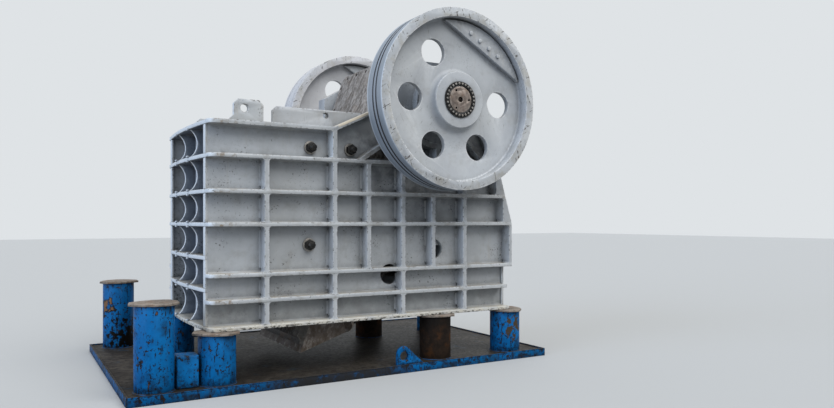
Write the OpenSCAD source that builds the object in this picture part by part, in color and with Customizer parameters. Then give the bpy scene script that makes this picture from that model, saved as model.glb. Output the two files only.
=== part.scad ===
// Single toggle jaw crusher on a blue workshop stand.
// X runs along the machine from the front wall to the rear, Z is up, and the near side faces -Y.
// Machine places are measured from the side walls' front edges, the middle plane and the underside.

/* [Frame] */
// Height of the side walls from the underside to the top flange
frame_h = 2040; // [1900:10:2150]
// Length of the bottom flange behind the front edge
frame_l = 3550; // [3500:10:3600]
// Thickness of a side wall
wall_t = 50; // [35:1:60]
// How far the side ribs stand out from a side wall
rib_depth = 150; // [110:5:180]
// Thickness of a horizontal rib or flange
rib_t = 40; // [30:1:50]
// Thickness of a vertical rib
post_rib_t = 45; // [35:1:55]
// Radius in the corners of the rib cells
cell_r = 28; // [10:1:40]
// Distance from the side walls' front edges to the front wall
front_recess = 150; // [120:5:180]
// Thickness of the front wall
front_t = 60; // [40:1:80]
// How far the front ribs bow out in the middle
front_bow = 45; // [10:1:80]
// How far the ribs pass the side walls' front edges
rib_lip = 20; // [10:1:30]
// Depth of the scallops in the upright front ribs
scallop = 72; // [40:1:100]
// Thickness of an upright front rib
front_post_t = 32; // [20:1:40]

/* [Rotor] */
// Distance of the shaft behind the side walls' front edges
shaft_x = 2538; // [2500:1:2560]
// Height of the shaft above the underside
shaft_z = 2365; // [2345:1:2390]
// Radius of the shaft in its bearings
shaft_r = 140; // [120:1:160]
// Radius of the eccentric part of the shaft
eccentric_r = 250; // [220:1:270]
// Throw of the eccentric
throw = 18; // [10:1:22]
// Direction of the counterweights from the shaft, in degrees above the rear
weight_angle = 60; // [40:1:75]
// Radius of a flywheel
wheel_r = 975; // [940:1:1000]
// Width of a flywheel rim
wheel_w = 330; // [300:1:350]
// Gap between the side ribs and a flywheel
wheel_gap = 160; // [150:1:200]
// Radial thickness of a flywheel rim
rim_t = 95; // [80:1:120]
// Thickness of a flywheel web
web_t = 60; // [45:1:80]
// Radius of a flywheel hub
hub_r = 305; // [280:1:330]
// How far the hub face lies inside the rim face
hub_inset = 50; // [30:1:80]
// Radius of the round holes in a flywheel web
web_hole_r = 146; // [100:1:150]
// Distance of those holes from the shaft
web_hole_pitch = 570; // [540:1:600]
// Distance of a counterweight's straight edge from the shaft
weight_chord = 648; // [600:1:700]
// Thickness of each counterweight plate
weight_t = 62; // [40:1:80]
// Outer radius of a locking ring
lock_r = 195; // [185:1:220]

/* [Jaws] */
// Width of both jaw plates, which sets the width of the frame
jaw_w = 1400; // [1200:10:1500]
// Gap between a jaw plate and the cheek plate beside it
jaw_gap = 23; // [15:1:40]
// Tooth spacing of the jaw plates
tooth_pitch = 100; // [70:10:140]
// Tooth height of the jaw plates
tooth_h = 45; // [25:1:60]
// Thickness of a jaw plate under its teeth
jaw_t = 95; // [70:1:110]
// Lean of the moving jaw from upright, in degrees
jaw_lean = 19; // [18:0.5:20]
// Distance of the moving jaw's flat seat in front of the shaft
seat_d = 578; // [560:1:600]
// Width of the feed opening between the tooth tips, at the height of the moving jaw's top
gape = 1070; // [1000:5:1120]
// Thickness of the cheek plates
cheek_t = 42; // [30:1:50]
// Height of the guard part of the cheek plates above the top flange
guard_h = 196; // [150:1:220]

/* [Stand] */
// Height of the base
base_h = 90; // [70:1:120]
// Height of a short post without its cap plate
post_h = 465; // [455:5:600]
// Height of a tall post without its cap plate
tall_post_h = 780; // [700:5:900]
// Diameter of the round posts
post_d = 356; // [300:1:370]
// Thickness of the cap plates
cap_t = 22; // [15:1:30]

/* [Hidden] */
$fn = 96;

paint = [0.70, 0.73, 0.75];
blue = [0.10, 0.40, 0.72];
casting = [0.42, 0.38, 0.35];
steel = [0.52, 0.50, 0.48];
rust = [0.36, 0.22, 0.14];
dark = [0.10, 0.10, 0.11];

// Clearance of shafts in their bores, of leaning flat seats, of curved seats, and of what moves past others
run_gap = 0.05;
face_gap = 0.1;
seat_gap = 0.3;
pass_gap = 12;

inner_y = jaw_w / 2 + jaw_gap + cheek_t;
wall_y = inner_y + wall_t;
wall_span = 2 * wall_y;
edge_y = wall_y + rib_depth;
top_flange_z = frame_h - rib_t;

// Heights of the rib centre lines above the underside
side_level = [279, 533, 1027, 1350, 1695];
front_level = [388, 703, 1027, 1350, 1695];
// Places of the upright side ribs behind the front edges
post_rib_x = [547, 1276, 1669, 2090, 2480, 2904];
break_x = post_rib_x[1];
front_post_y = 272;
// Radius of the front corners of the ribs, and of the weld notches where posts meet wall and levels
rib_corner = 100;
notch_r = 40;
// Lower rear edge of the side wall, the upright rear flange above it, and the rear end of the lowest level
wall_end = frame_l + 15;
rear_x = frame_l + 40;
low_rib_end = frame_l - 30;
rear_top = [frame_l - 120, 1565];
rear_knee_z = side_level[2];
rear_slope = (rear_top[0] - rear_x) / (rear_top[1] - rear_knee_z);

// Bearing housing
housing_half = 650;
saddle_r = 430;
saddle_z = shaft_z - 40;
shoulder_h = 281;
crown_h = 480;
crown_half = 305;
shoulder_drop = 420;
corner_drop = 120;
housing_in = inner_y - 30;
housing_out = edge_y + 90;
cover_r = 330;

wheel_in = edge_y + wheel_gap;
wheel_out = wheel_in + wheel_w;
web_in = wheel_in + (wheel_w - web_t) / 2;
web_out = web_in + web_t;
hub_out = wheel_out - hub_inset;
hub_in = wheel_in + 15;

// The eccentric lies opposite the counterweights at rest
rest_throw = [-throw * cos(weight_angle), -throw * sin(weight_angle)];
eccentric = [shaft_x, shaft_z] + rest_throw;
pitman_half = jaw_w / 2 - 10;
barrel_r = 520;

// The pitman's flat front leans along lean_up, looks along -lean_out and carries the moving jaw
lean_up = [sin(jaw_lean), cos(jaw_lean)];
lean_out = [cos(jaw_lean), -sin(jaw_lean)];
jaw_low_z = -190;
jaw_len = 2220;
jaw_full = jaw_t + tooth_h;
seat_foot = [shaft_x, shaft_z] - lean_out * seat_d;
seat_low = seat_foot - lean_up * ((seat_foot[1] - jaw_low_z) / cos(jaw_lean));
// A place by that front: up from the moving jaw's lower end, and back into the pitman
function seat_at(up, back) = seat_low + lean_up * up + lean_out * back;
function seat_x(z) = seat_low[0] + (z - jaw_low_z) * tan(jaw_lean);
// The fixed jaw stands the gape in front of the moving one, on the back of the front box
fixed_face = seat_at(jaw_len, -jaw_full)[0] - gape;
fixed_back = fixed_face - jaw_full;

// Stand: how far the base passes the machine's front edges, bottom flange and sides
front_deck = 770;
rear_deck = 430;
near_deck = 150;
far_deck = 1020;
base_front = -front_deck;
base_rear = frame_l + rear_deck;
base_near = edge_y + near_deck;
base_far = edge_y + far_deck;
lift = base_h + post_h + cap_t;
middle = [(base_front + base_rear) / 2, (base_far - wheel_out) / 2];

module place() {
    translate([-middle[0], -middle[1], lift]) children();
}

// Profile in X and Z, drawn out between two places along Y
module span_y(y0, y1) {
    translate([0, y1, 0]) rotate([90, 0, 0]) linear_extrude(y1 - y0) children();
}

// The same on the near side (-1) or the far side (1), from y0 out to y1
module span_side(side, y0, y1) {
    if (side < 0) span_y(-y1, -y0) children();
    else span_y(y0, y1) children();
}

// A round bar along Y
module rod_y(x, z, r, y0, y1) {
    translate([x, y0, z]) rotate([-90, 0, 0]) cylinder(r = r, h = y1 - y0);
}

// Rectangle with round corners from two corner points
module round_cell(a, b, r) {
    translate([a[0] + r, a[1]]) square([b[0] - a[0] - 2 * r, b[1] - a[1]]);
    translate([a[0], a[1] + r]) square([b[0] - a[0], b[1] - a[1] - 2 * r]);
    for (x = [a[0] + r, b[0] - r], z = [a[1] + r, b[1] - r]) translate([x, z]) circle(r, $fn = 32);
}

// Straight bar of thickness t between two points
module bar(a, b, t) {
    d = b - a;
    len = norm(d);
    translate(a) rotate(atan2(d[1], d[0])) translate([0, -t / 2]) square([len, t]);
}

function rear_at(z) = rear_x + (z - rear_knee_z) * rear_slope;

// Side view outline shared by a side wall and its ribs
module side_outline(front, rear_low) {
    roof_x = shaft_x - housing_half;
    shoulder_z = saddle_z - shoulder_drop;
    difference() {
        polygon([[front, 0], [rear_low, 0], [rear_low, side_level[1] - rib_t / 2],
            [rear_x, side_level[1] - rib_t / 2], [rear_x, rear_knee_z], [rear_at(shoulder_z), shoulder_z],
            [shaft_x + housing_half, saddle_z - corner_drop], [shaft_x + housing_half, saddle_z],
            [roof_x, saddle_z], [break_x, frame_h], [front, frame_h]]);
        translate([shaft_x, shaft_z]) circle(saddle_r + seat_gap);
    }
}

function low_edge(i) = i < 0 ? rib_t : side_level[i] + rib_t / 2;
function high_edge(i) = side_level[i] - rib_t / 2;

// One row of cells between two levels, with posts at the given places
module cell_row(z0, z1, posts, front, rear) {
    xs = concat([front - post_rib_t / 2], posts, [rear + post_rib_t / 2]);
    for (i = [0:len(xs) - 2]) {
        round_cell([xs[i] + post_rib_t / 2, z0], [xs[i + 1] - post_rib_t / 2, z1], cell_r);
    }
}

// Saddle arch, its slanted braces and the post under it
brace_t = 42;
module rib_bars() {
    ring = saddle_r + 60;
    top = low_edge(4);
    foot = [break_x + 284, side_level[4]];
    rear_foot = [shaft_x + 700, side_level[4]];
    difference() {
        union() {
            difference() {
                translate([shaft_x, shaft_z]) circle(ring);
                translate([shaft_x - ring, saddle_z - rib_t]) square([2 * ring, ring + 100]);
            }
            bar(foot, foot + [640, 432], brace_t);
            bar(rear_foot, rear_foot + [-330, 330], brace_t);
            translate([shaft_x - post_rib_t / 2, top]) square([post_rib_t, saddle_z - ring - top + 70]);
        }
        translate([shaft_x, shaft_z]) circle(saddle_r + seat_gap);
    }
}

// Side view of the welded ribs: flanges, levels and posts in one lattice
module side_lattice() {
    far_out = rear_x + 200;
    open_front = -rib_lip - 100;
    p = post_rib_x;
    slope_rise = saddle_z - frame_h;
    slope_run = shaft_x - housing_half - break_x;
    drop = rib_t * norm([slope_rise, slope_run]) / slope_run;
    shoulder_z = saddle_z - shoulder_drop;
    difference() {
        side_outline(-rib_lip, frame_l);
        cell_row(low_edge(-1), high_edge(0), [p[0], p[1], p[3], p[5]], open_front, far_out);
        cell_row(low_edge(0), high_edge(1), [p[0], p[1], p[3], p[5]], open_front, far_out);
        cell_row(low_edge(1), high_edge(2), p, open_front, rear_x - rib_t);
        cell_row(low_edge(2), high_edge(3), p, open_front, rear_at(high_edge(3)) - rib_t);
        cell_row(low_edge(3), high_edge(4), [p[0], p[1], p[2], p[3], p[5]], open_front,
            rear_at(high_edge(4)) - rib_t);
        round_cell([open_front, low_edge(4)], [break_x - post_rib_t / 2, top_flange_z], cell_r);
        polygon([[break_x + post_rib_t / 2, low_edge(4)],
            [rear_at(low_edge(4)) - rib_t, low_edge(4)],
            [rear_at(shoulder_z) - rib_t, shoulder_z - rib_t / 2],
            [shaft_x + housing_half - rib_t, saddle_z - corner_drop - rib_t / 2],
            [shaft_x + housing_half - rib_t, saddle_z - rib_t],
            [shaft_x - housing_half, saddle_z - drop],
            [break_x + post_rib_t / 2, frame_h - drop + post_rib_t / 2 * slope_rise / slope_run]]);
    }
    intersection() {
        rib_bars();
        side_outline(-rib_lip, frame_l);
    }
}

// Round holes of a side wall as [x, z, radius], and the triangular one over the top level
wall_holes = [[1995, 470, 112], [2572, 738, 112]];
vent_x = [1690, 2020];
vent_z = low_edge(4) + 30;
module side_wall(side) {
    color(paint) place() span_side(side, inner_y, wall_y) difference() {
        side_outline(0, wall_end);
        for (h = wall_holes) translate([h[0], h[1]]) circle(h[2]);
        polygon([[vent_x[0], vent_z], [vent_x[1], vent_z], [vent_x[1], vent_z + 205]]);
    }
}

// Bands of the side view: the bottom flange and the levels, or what stands between them
module level_bands() {
    translate([-rib_lip - 1, 0]) square([rear_x + 100, rib_t]);
    for (i = [0:4]) translate([-rib_lip - 1, high_edge(i)]) square([rear_x + 100, rib_t]);
}

module upper_band() {
    translate([-rib_lip - 1, low_edge(4)]) square([rear_x + 100, saddle_z]);
}

// What of the lattice the children leave, its front corners round in plan
module rib_solid(side) {
    corner = rib_corner;
    color(paint) place() intersection() {
        span_side(side, wall_y, edge_y) children();
        translate([0, side < 0 ? -edge_y : wall_y, -1]) mirror([0, side < 0 ? 0 : 1, 0])
            translate([0, side < 0 ? 0 : -rib_depth, 0]) linear_extrude(saddle_z + 10) {
                translate([-rib_lip + corner, 0]) square([rear_x + 200, rib_depth]);
                translate([-rib_lip, corner]) square([corner + 1, rib_depth - corner]);
                translate([-rib_lip + corner, corner]) circle(corner);
            }
    }
}

// Bottom flange and level ribs, the lowest level cut shorter
module side_ribs(side) {
    rib_solid(side) difference() {
        intersection() {
            side_lattice();
            level_bands();
        }
        translate([low_rib_end, high_edge(0) - 1]) square([rear_x, rib_t + 2]);
    }
}

// Round notches along the wall, that leave room for the level ribs' welds
module weld_notches(side, heights) {
    place() for (z = heights) translate([-rib_lip - 1, side * wall_y, z]) rotate([0, 90, 0])
        cylinder(r = notch_r, h = rear_x + 2 * rib_t, $fn = 32);
}

// Upright pieces between the levels, with the rear flange
module side_posts(side) {
    color(paint) difference() {
        rib_solid(side) difference() {
            side_lattice();
            level_bands();
            upper_band();
        }
        weld_notches(side, concat([for (i = [-1:3]) low_edge(i)], [for (i = [0:4]) high_edge(i)]));
    }
}

// Top flange, saddle arch and its braces
module side_flange(side) {
    color(paint) difference() {
        rib_solid(side) intersection() {
            side_lattice();
            upper_band();
        }
        weld_notches(side, [low_edge(4)]);
    }
}

// Front wall: two plates with cross webs between them, a box that backs the fixed jaw
module front_wall() {
    color(paint) place() span_y(-inner_y, inner_y) difference() {
        translate([front_recess, 0]) square([fixed_back - front_recess, frame_h]);
        for (i = [0:len(front_lows) - 2])
            round_cell([front_recess + front_t, front_lows[i] + rib_t], [fixed_back - front_t, front_lows[i + 1]],
                cell_r);
    }
}

// Plan of one front rib: straight behind, bowed in front, and notched round the side walls' edges
module front_rib_plan() {
    bow_r = (wall_y * wall_y + front_bow * front_bow) / (2 * front_bow);
    difference() {
        intersection() {
            translate([-rib_lip - front_bow - 10, -wall_y])
                square([front_recess + rib_lip + front_bow + 10, wall_span]);
            translate([-rib_lip - front_bow + bow_r, 0]) circle(bow_r, $fn = 360);
        }
        for (side = [-1, 1]) translate([0, side > 0 ? inner_y : -wall_y - 1])
            square([front_recess + 1, wall_t + 1]);
    }
}

front_lows = concat([0], [for (z = front_level) z - rib_t / 2], [top_flange_z]);
module front_ribs() {
    color(paint) place() for (z = front_lows) translate([0, 0, z]) linear_extrude(rib_t) front_rib_plan();
}

// Upright pieces between the front ribs, each with a scalloped free edge
module front_posts() {
    edge = -rib_lip - front_bow / 2;
    color(paint) place() for (side = [-1, 1], i = [0:len(front_lows) - 2]) {
        y = side * front_post_y;
        low = front_lows[i] + rib_t;
        h = front_lows[i + 1] - low;
        r = (h * h / 4 + scallop * scallop) / (2 * scallop);
        span_y(y - front_post_t / 2, y + front_post_t / 2) difference() {
            translate([edge, low]) square([front_recess - edge, h]);
            translate([edge + scallop - r, low + h / 2]) circle(r);
        }
    }
}

// Rear cross wall between the side walls, with level and upright ribs behind it, clear of the rods' springs
rear_wall_t = 50;
rear_wall_x = frame_l - rear_wall_t - 100;
rear_wall_z = [low_edge(0), 1460];
rear_rib_x = rear_wall_x + rear_wall_t;
rear_rib_z = [rear_wall_z[0] + 420, side_level[2], side_level[3]];
rear_rib_y = [-500, -167, 167, 500];
module rear_wall() {
    depth = frame_l - rear_rib_x;
    top = rear_wall_z[1];
    color(paint) place() difference() {
        union() {
            span_y(-inner_y, inner_y) translate([rear_wall_x, rear_wall_z[0]])
                square([rear_wall_t, top - rear_wall_z[0]]);
            for (z = rear_rib_z) span_y(-inner_y, inner_y) translate([rear_rib_x - 1, z - rib_t / 2])
                square([depth + 1, rib_t]);
            for (y = rear_rib_y) span_y(y - post_rib_t / 2, y + post_rib_t / 2) polygon([
                [rear_rib_x - 1, rear_rib_z[0]], [rear_rib_x + depth, rear_rib_z[0]],
                [rear_rib_x + depth, rear_rib_z[2]], [rear_rib_x, top], [rear_rib_x - 1, top]]);
        }
        for (y = [-rod_y_place, rod_y_place]) rod_run(y) cylinder(r = rod_r + rod_room, h = rod_len);
    }
}

// Heel of the pitman, where the toggle ends
toggle_front = [1500, 165];
heel_d = 150;
heel_up = 135;
heel_down = 130;
heel_t = 120;

// Rods that pull the heel back: from the heel, under the toggle beam and through the rear wall
rod_y_place = 360;
rod_r = 35;
rod_room = 10;
rod_half = 42;
rod_tail = 360;
rod_front = toggle_front + [165, -280];
rod_rise = low_edge(0) + 109 - rod_front[1];
rod_slope = rod_rise / (rear_wall_x - rod_front[0]);
rod_tilt = atan(rod_slope);
rod_len = (rear_wall_x + rear_wall_t + rod_tail - rod_front[0]) / cos(rod_tilt);
eye_pin_r = 32;

// Cross beam that carries the toggle, clear of the rods
beam_x = 2290;
beam_l = 520;
beam_h = 520;
beam_wall = 50;
beam_room = 42;
beam_z = rod_front[1] + (beam_x + beam_l - rod_front[0]) * rod_slope + rod_r / cos(rod_tilt) + beam_room;
module toggle_beam() {
    color(paint) place() difference() {
        span_y(-inner_y, inner_y) translate([beam_x, beam_z]) square([beam_l, beam_h]);
        span_y(-inner_y - 1, inner_y + 1) round_cell([beam_x + beam_wall, beam_z + beam_wall],
            [beam_x + beam_l - beam_wall, beam_z + beam_h - beam_wall], 40);
    }
}

// The toggle runs from its seat on the beam down to the moving jaw's heel
toggle_t = 90;
toggle_half = 560;
toggle_rear = [beam_x - 95, beam_z + 230];
seat_half = toggle_half + 40;
seat_w = 110;
seat_h = 240;
seat_mouth = 150;
seat_lip = 40;
module toggle_seat() {
    color(steel) place() span_y(-seat_half, seat_half) difference() {
        translate([beam_x - seat_w, toggle_rear[1] - seat_h / 2]) square([seat_w, seat_h]);
        translate(toggle_rear) circle(toggle_t / 2 + seat_gap);
        translate([beam_x - seat_w - 1, toggle_rear[1] - seat_mouth / 2]) square([seat_lip, seat_mouth]);
    }
}

module toggle_plate() {
    color(steel) place() span_y(-toggle_half, toggle_half) {
        bar(toggle_rear, toggle_front, toggle_t - 24);
        for (p = [toggle_rear, toggle_front]) translate(p) circle(toggle_t / 2);
    }
}

// Seat on the pitman's heel. It circles with the eccentric, so it is open by the throw and a passing gap
heel_gap = throw + pass_gap;
module pitman_seat() {
    color(steel) place() span_y(-seat_half, seat_half) difference() {
        translate(toggle_front - [heel_d, heel_down]) square([heel_t, heel_down + heel_up - 5]);
        translate(toggle_front + rest_throw) circle(toggle_t / 2 + heel_gap);
    }
}

// Things along a rod: z runs from the eye to the rod's rear end
module rod_run(y) {
    translate([rod_front[0], y, rod_front[1]]) rotate([0, 90 - rod_tilt, 0]) children();
}

// The eyes leave the pins on the pitman the same room as the heel has
eye_r = eye_pin_r + heel_gap;
eye_wall = 28;
module tension_rods() {
    color(steel) place() for (y = [-rod_y_place, rod_y_place]) difference() {
        union() {
            rod_run(y) cylinder(r = rod_r, h = rod_len);
            rod_y(rod_front[0], rod_front[1], eye_r + eye_wall, y - rod_half, y + rod_half);
        }
        rod_y(rod_front[0], rod_front[1], eye_r, y - rod_half - 1, y + rod_half + 1);
    }
}

// Spring of each rod on the rear wall, with the plate that closes it
spring_r = 78;
module tension_springs() {
    plate_t = 25;
    plate_r = spring_r + 14;
    nut_room = 60;
    full = rod_tail / cos(rod_tilt) + plate_r;
    color(dark) place() for (y = [-rod_y_place, rod_y_place]) difference() {
        union() {
            rod_run(y) translate([0, 0, rod_len - full]) cylinder(r = spring_r, h = full - nut_room);
            rod_run(y) translate([0, 0, rod_len - nut_room - plate_t]) cylinder(r = plate_r, h = plate_t);
        }
        rod_run(y) cylinder(r = rod_r + seat_gap, h = rod_len + 10);
        translate([0, y - plate_r, 0]) cube([rear_wall_x + rear_wall_t, 2 * plate_r, rear_wall_z[1]]);
    }
}

module housing_profile() {
    difference() {
        union() {
            polygon([[-housing_half, saddle_z - shaft_z], [housing_half, saddle_z - shaft_z],
                [housing_half, shoulder_h], [crown_half, crown_h], [-crown_half, crown_h],
                [-housing_half, shoulder_h]]);
            circle(saddle_r);
        }
        circle(shaft_r + run_gap);
    }
}

// Bearing block with its round cover, seated in the side wall's saddle
module bearing_housing(side) {
    color(paint) place() translate([shaft_x, 0, shaft_z]) {
        span_side(side, wall_y - wall_t, edge_y) housing_profile();
        span_side(side, edge_y, housing_out) difference() {
            circle(cover_r);
            circle(shaft_r + run_gap);
        }
        span_side(side, housing_in, inner_y) difference() {
            circle(cover_r - 30);
            circle(shaft_r + run_gap);
        }
    }
}

lug_x = [260, 560];
lug_h = 230;
lug_foot = 72;
lug_cut = 45;
lug_hole = [lug_x[0] + 105, 142, 40];
module lifting_lug(side) {
    color(paint) place() span_side(side, inner_y, wall_y) difference() {
        translate([0, frame_h]) polygon([[lug_x[0] - lug_foot, 0], [lug_x[1], 0], [lug_x[1], lug_h - lug_cut],
            [lug_x[1] - lug_cut, lug_h], [lug_x[0] + lug_cut, lug_h], [lug_x[0], lug_h - lug_cut],
            [lug_x[0], lug_foot]]);
        translate([lug_hole[0], frame_h + lug_hole[1]]) circle(lug_hole[2]);
    }
}

// Liners of the crushing chamber, the upper ones standing above the top flange as guards
cheek_split = 1010;
split_gap = 8;
guard_front = 670;
guard_cut = 45;
guard_hole = [1256, 58, 24];
guard_top = frame_h + guard_h;
cheek_low = 250;
cheek_room = 30;
function cheek_rear(z) = seat_x(z) - cheek_room;
module cheek_outline() {
    front = fixed_back + pass_gap;
    low = cheek_split - split_gap / 2;
    high = cheek_split + split_gap / 2;
    polygon([[front, cheek_low], [cheek_rear(cheek_low), cheek_low], [cheek_rear(low), low], [front, low]]);
    difference() {
        polygon([[front, high], [cheek_rear(high), high], [cheek_rear(guard_top), guard_top],
            [guard_front + guard_cut, guard_top], [guard_front, guard_top - guard_cut],
            [guard_front, top_flange_z], [front, top_flange_z]]);
        translate([guard_hole[0], guard_top - guard_hole[1]]) circle(guard_hole[2]);
    }
}

module cheek_plates(side) {
    color(steel) place() span_side(side, inner_y - cheek_t, inner_y) difference() {
        cheek_outline();
        for (p = liner_bolt) translate(p) circle(bolt_r + seat_gap);
    }
}

// Bolts that hold the cheek plates: a sunk end inside, and a washer, nut and stub outside
upper_bolt_z = low_edge(4) + 0.375 * (top_flange_z - low_edge(4));
liner_bolt = [[1057, upper_bolt_z], [1514, upper_bolt_z], [1042, low_edge(1) + 258]];
bolt_r = 30;
washer_r = 54;
washer_t = 12;
nut_t = 40;
stub_t = 75;
module liner_bolts(side) {
    color(dark) place() for (p = liner_bolt) {
        span_side(side, inner_y - cheek_t + 12, inner_y) translate(p) circle(bolt_r);
        span_side(side, wall_y, wall_y + washer_t) translate(p) circle(washer_r);
        span_side(side, wall_y + washer_t, wall_y + nut_t) translate(p) circle(bolt_r * 1.55, $fn = 6);
        span_side(side, wall_y + nut_t, wall_y + stub_t) translate(p) circle(bolt_r);
    }
}

// Plan of a toothed plate: flat back at x = 0, tooth tips at x = jaw_full
module tooth_plan() {
    n = floor(jaw_w / tooth_pitch);
    edge = -jaw_w / 2;
    first = -n * tooth_pitch / 2;
    foot = tooth_pitch * 0.08;
    tip = tooth_pitch * 0.34;
    pts = [for (i = [0:n - 1]) let (y = first + i * tooth_pitch) each [[jaw_t, y + foot], [jaw_full, y + tip],
        [jaw_full, y + tooth_pitch - tip], [jaw_t, y + tooth_pitch - foot]]];
    polygon(concat([[0, edge], [jaw_t, edge]], pts, [[jaw_t, -edge], [0, -edge]]));
}

fixed_low = 110;
module fixed_jaw() {
    color(steel) place() translate([fixed_back, 0, fixed_low])
        linear_extrude(frame_h - 70 - fixed_low) tooth_plan();
}

module moving_jaw() {
    low = seat_at(0, -face_gap);
    color(steel) place() translate([low[0], 0, low[1]]) rotate([0, jaw_lean, 0])
        mirror([1, 0, 0]) linear_extrude(jaw_len) tooth_plan();
}

// Bar that clamps the moving jaw's lower end to the pitman
wedge_h = 65;
wedge_t = 60;
module jaw_wedge() {
    color(steel) place() span_y(-pitman_half, pitman_half)
        polygon([seat_at(-seat_gap, -face_gap), seat_at(-seat_gap, -wedge_t), seat_at(-wedge_h, 20 - wedge_t),
            seat_at(-wedge_h, -face_gap)]);
}

// Side view of the pitman: flat front from the toe to the head with a lip over the jaw, then down the back
head_len = 3290;
lip_low = jaw_len + seat_gap;
lip_out = 82;
lip_h = 60;
toe_len = 148;
toe_rear = toggle_front + [26, -317];
back_high = eccentric + [-300, -850];
back_low = toggle_front + [190, 315];
module pitman_profile() {
    translate(eccentric) circle(barrel_r);
    polygon([seat_at(-toe_len, 0), seat_at(lip_low, 0), seat_at(lip_low, -lip_out),
        seat_at(lip_low + lip_h, -lip_out), seat_at(lip_low + 2 * lip_h, 0), seat_at(head_len, 0),
        eccentric + [-250, barrel_r * 1.1], eccentric + [120, barrel_r * 0.973], eccentric + [0, -barrel_r],
        back_high, back_low, toggle_front + [-heel_d, heel_up], toggle_front - [heel_d, heel_down],
        toe_rear + [-30, 105], toe_rear]);
}

// Cast pitman: round head, front plate, and pockets between its rear ribs
module pitman() {
    wall = 75;
    plate = 130;
    pocket_low = 880;
    pocket_high = lip_low - 20;
    cut = 100;
    cut_h = 45;
    pocket_w = (2 * pitman_half - 4 * wall) / 3;
    ear_t = 36;
    ear_y = rod_half + pass_gap + ear_t / 2;
    pin = rod_front + rest_throw;
    color(casting) place() difference() {
        union() {
            span_y(-pitman_half, pitman_half) pitman_profile();
            for (y = [-rod_y_place, rod_y_place]) {
                rod_y(pin[0], pin[1], eye_pin_r, y - ear_y - ear_t / 2, y + ear_y + ear_t / 2);
                for (s = [-1, 1]) span_y(y + s * ear_y - ear_t / 2, y + s * ear_y + ear_t / 2) {
                    bar(toe_rear + [-110, 60], pin, 110);
                    translate(pin) circle(55);
                }
            }
        }
        rod_y(eccentric[0], eccentric[1], eccentric_r + run_gap, -pitman_half - 1, pitman_half + 1);
        for (i = [0:2]) {
            y = -pitman_half + wall + i * (pocket_w + wall);
            span_y(y, y + pocket_w) polygon([seat_at(pocket_low, plate), back_low + [150, 40],
                back_high + [100, -80], back_high + [-120, 260], seat_at(pocket_high, plate)]);
        }
        // The head's upper corners are cut off
        for (side = [-1, 1]) translate([0, side * pitman_half, seat_at(head_len, 0)[1]]) rotate([90, 0, 90])
            linear_extrude(eccentric[0]) polygon([[-side * cut, cut], [-side * cut, 0], [0, -cut_h],
                [side * 10, -cut_h], [side * 10, cut]]);
    }
}

// Shaft: one round bar from hub to hub, with a fat eccentric part through the pitman
module eccentric_shaft() {
    end = hub_out + 16;
    color(steel) place() {
        rod_y(shaft_x, shaft_z, shaft_r, -end, end);
        rod_y(eccentric[0], eccentric[1], eccentric_r, -pitman_half - 15, pitman_half + 15);
    }
}

// Half section of a flywheel: x is the radius, y runs outward from the frame
hub_round = 50;
rim_round = 20;
module wheel_section() {
    groove = 22;
    groove_place = 34;
    edge = 8;
    mid = wheel_w / 2;
    rim_in = wheel_r - rim_t;
    faces = [web_in - wheel_in, web_out - wheel_in];
    difference() {
        union() {
            translate([rim_in, 0]) square([rim_t, wheel_w]);
            translate([shaft_r, faces[0]]) square([rim_in + 1 - shaft_r, web_t]);
            polygon([[shaft_r, hub_in - wheel_in], [hub_r - edge, hub_in - wheel_in],
                [hub_r, hub_in - wheel_in + edge], [hub_r, hub_out - wheel_in - edge],
                [hub_r - edge, hub_out - wheel_in], [shaft_r, hub_out - wheel_in]]);
            for (s = [0, 1]) translate([0, faces[s]]) mirror([0, 1 - s]) {
                translate([hub_r, 0]) corner_fill(hub_round);
                translate([rim_in, 0]) mirror([1, 0]) corner_fill(rim_round);
            }
        }
        for (s = [-1, 1]) translate([wheel_r, mid + s * groove_place]) rotate(45) square(groove, center = true);
    }
}

// Hollow round of radius r in a corner at the origin, sunk 1 mm into both sides
module corner_fill(r) {
    difference() {
        translate([-1, -1]) square(r + 1);
        translate([r, r]) circle(r);
    }
}

module flywheel(side) {
    color(paint) place() translate([shaft_x, side * wheel_in, shaft_z]) rotate([90, 0, 0])
        mirror([0, 0, side > 0 ? 1 : 0]) difference() {
            rotate_extrude($fn = 180) wheel_section();
            translate([0, 0, -1]) cylinder(r = shaft_r + seat_gap, h = wheel_w + 2);
            for (a = [0:60:300]) if (a != 60) rotate(weight_angle - 60 + a)
                translate([web_hole_pitch, 0, 20]) cylinder(r = web_hole_r, h = wheel_w - 40);
        }
}

module weight_profile() {
    r = wheel_r - rim_t - rim_round - 2;
    intersection() {
        circle(r);
        rotate(weight_angle) translate([weight_chord, -r]) square([r, 2 * r]);
    }
}

// A plate on each face of the web
module counterweights(side) {
    color(paint) place() translate([shaft_x, 0, shaft_z]) {
        span_side(side, web_out, web_out + weight_t) weight_profile();
        span_side(side, web_in - weight_t, web_in) weight_profile();
    }
}

module locking_ring(side) {
    color(dark) place() translate([shaft_x, 0, shaft_z]) span_side(side, hub_out, hub_out + 14) difference() {
        circle(lock_r);
        circle(shaft_r + 8);
    }
}

// Stand
module base_box(inset, z0, z1) {
    translate([base_front + inset, -base_near + inset, z0 - lift])
        cube([base_rear - base_front - 2 * inset, base_near + base_far - 2 * inset, z1 - z0]);
}

module stand_base() {
    color(blue) place() base_box(0, 0, deck);
}

// Low lip round the deck
module stand_rim() {
    color(blue) place() difference() {
        base_box(0, deck, base_h);
        base_box(rim_w, deck - 1, base_h + 1);
    }
}

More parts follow.
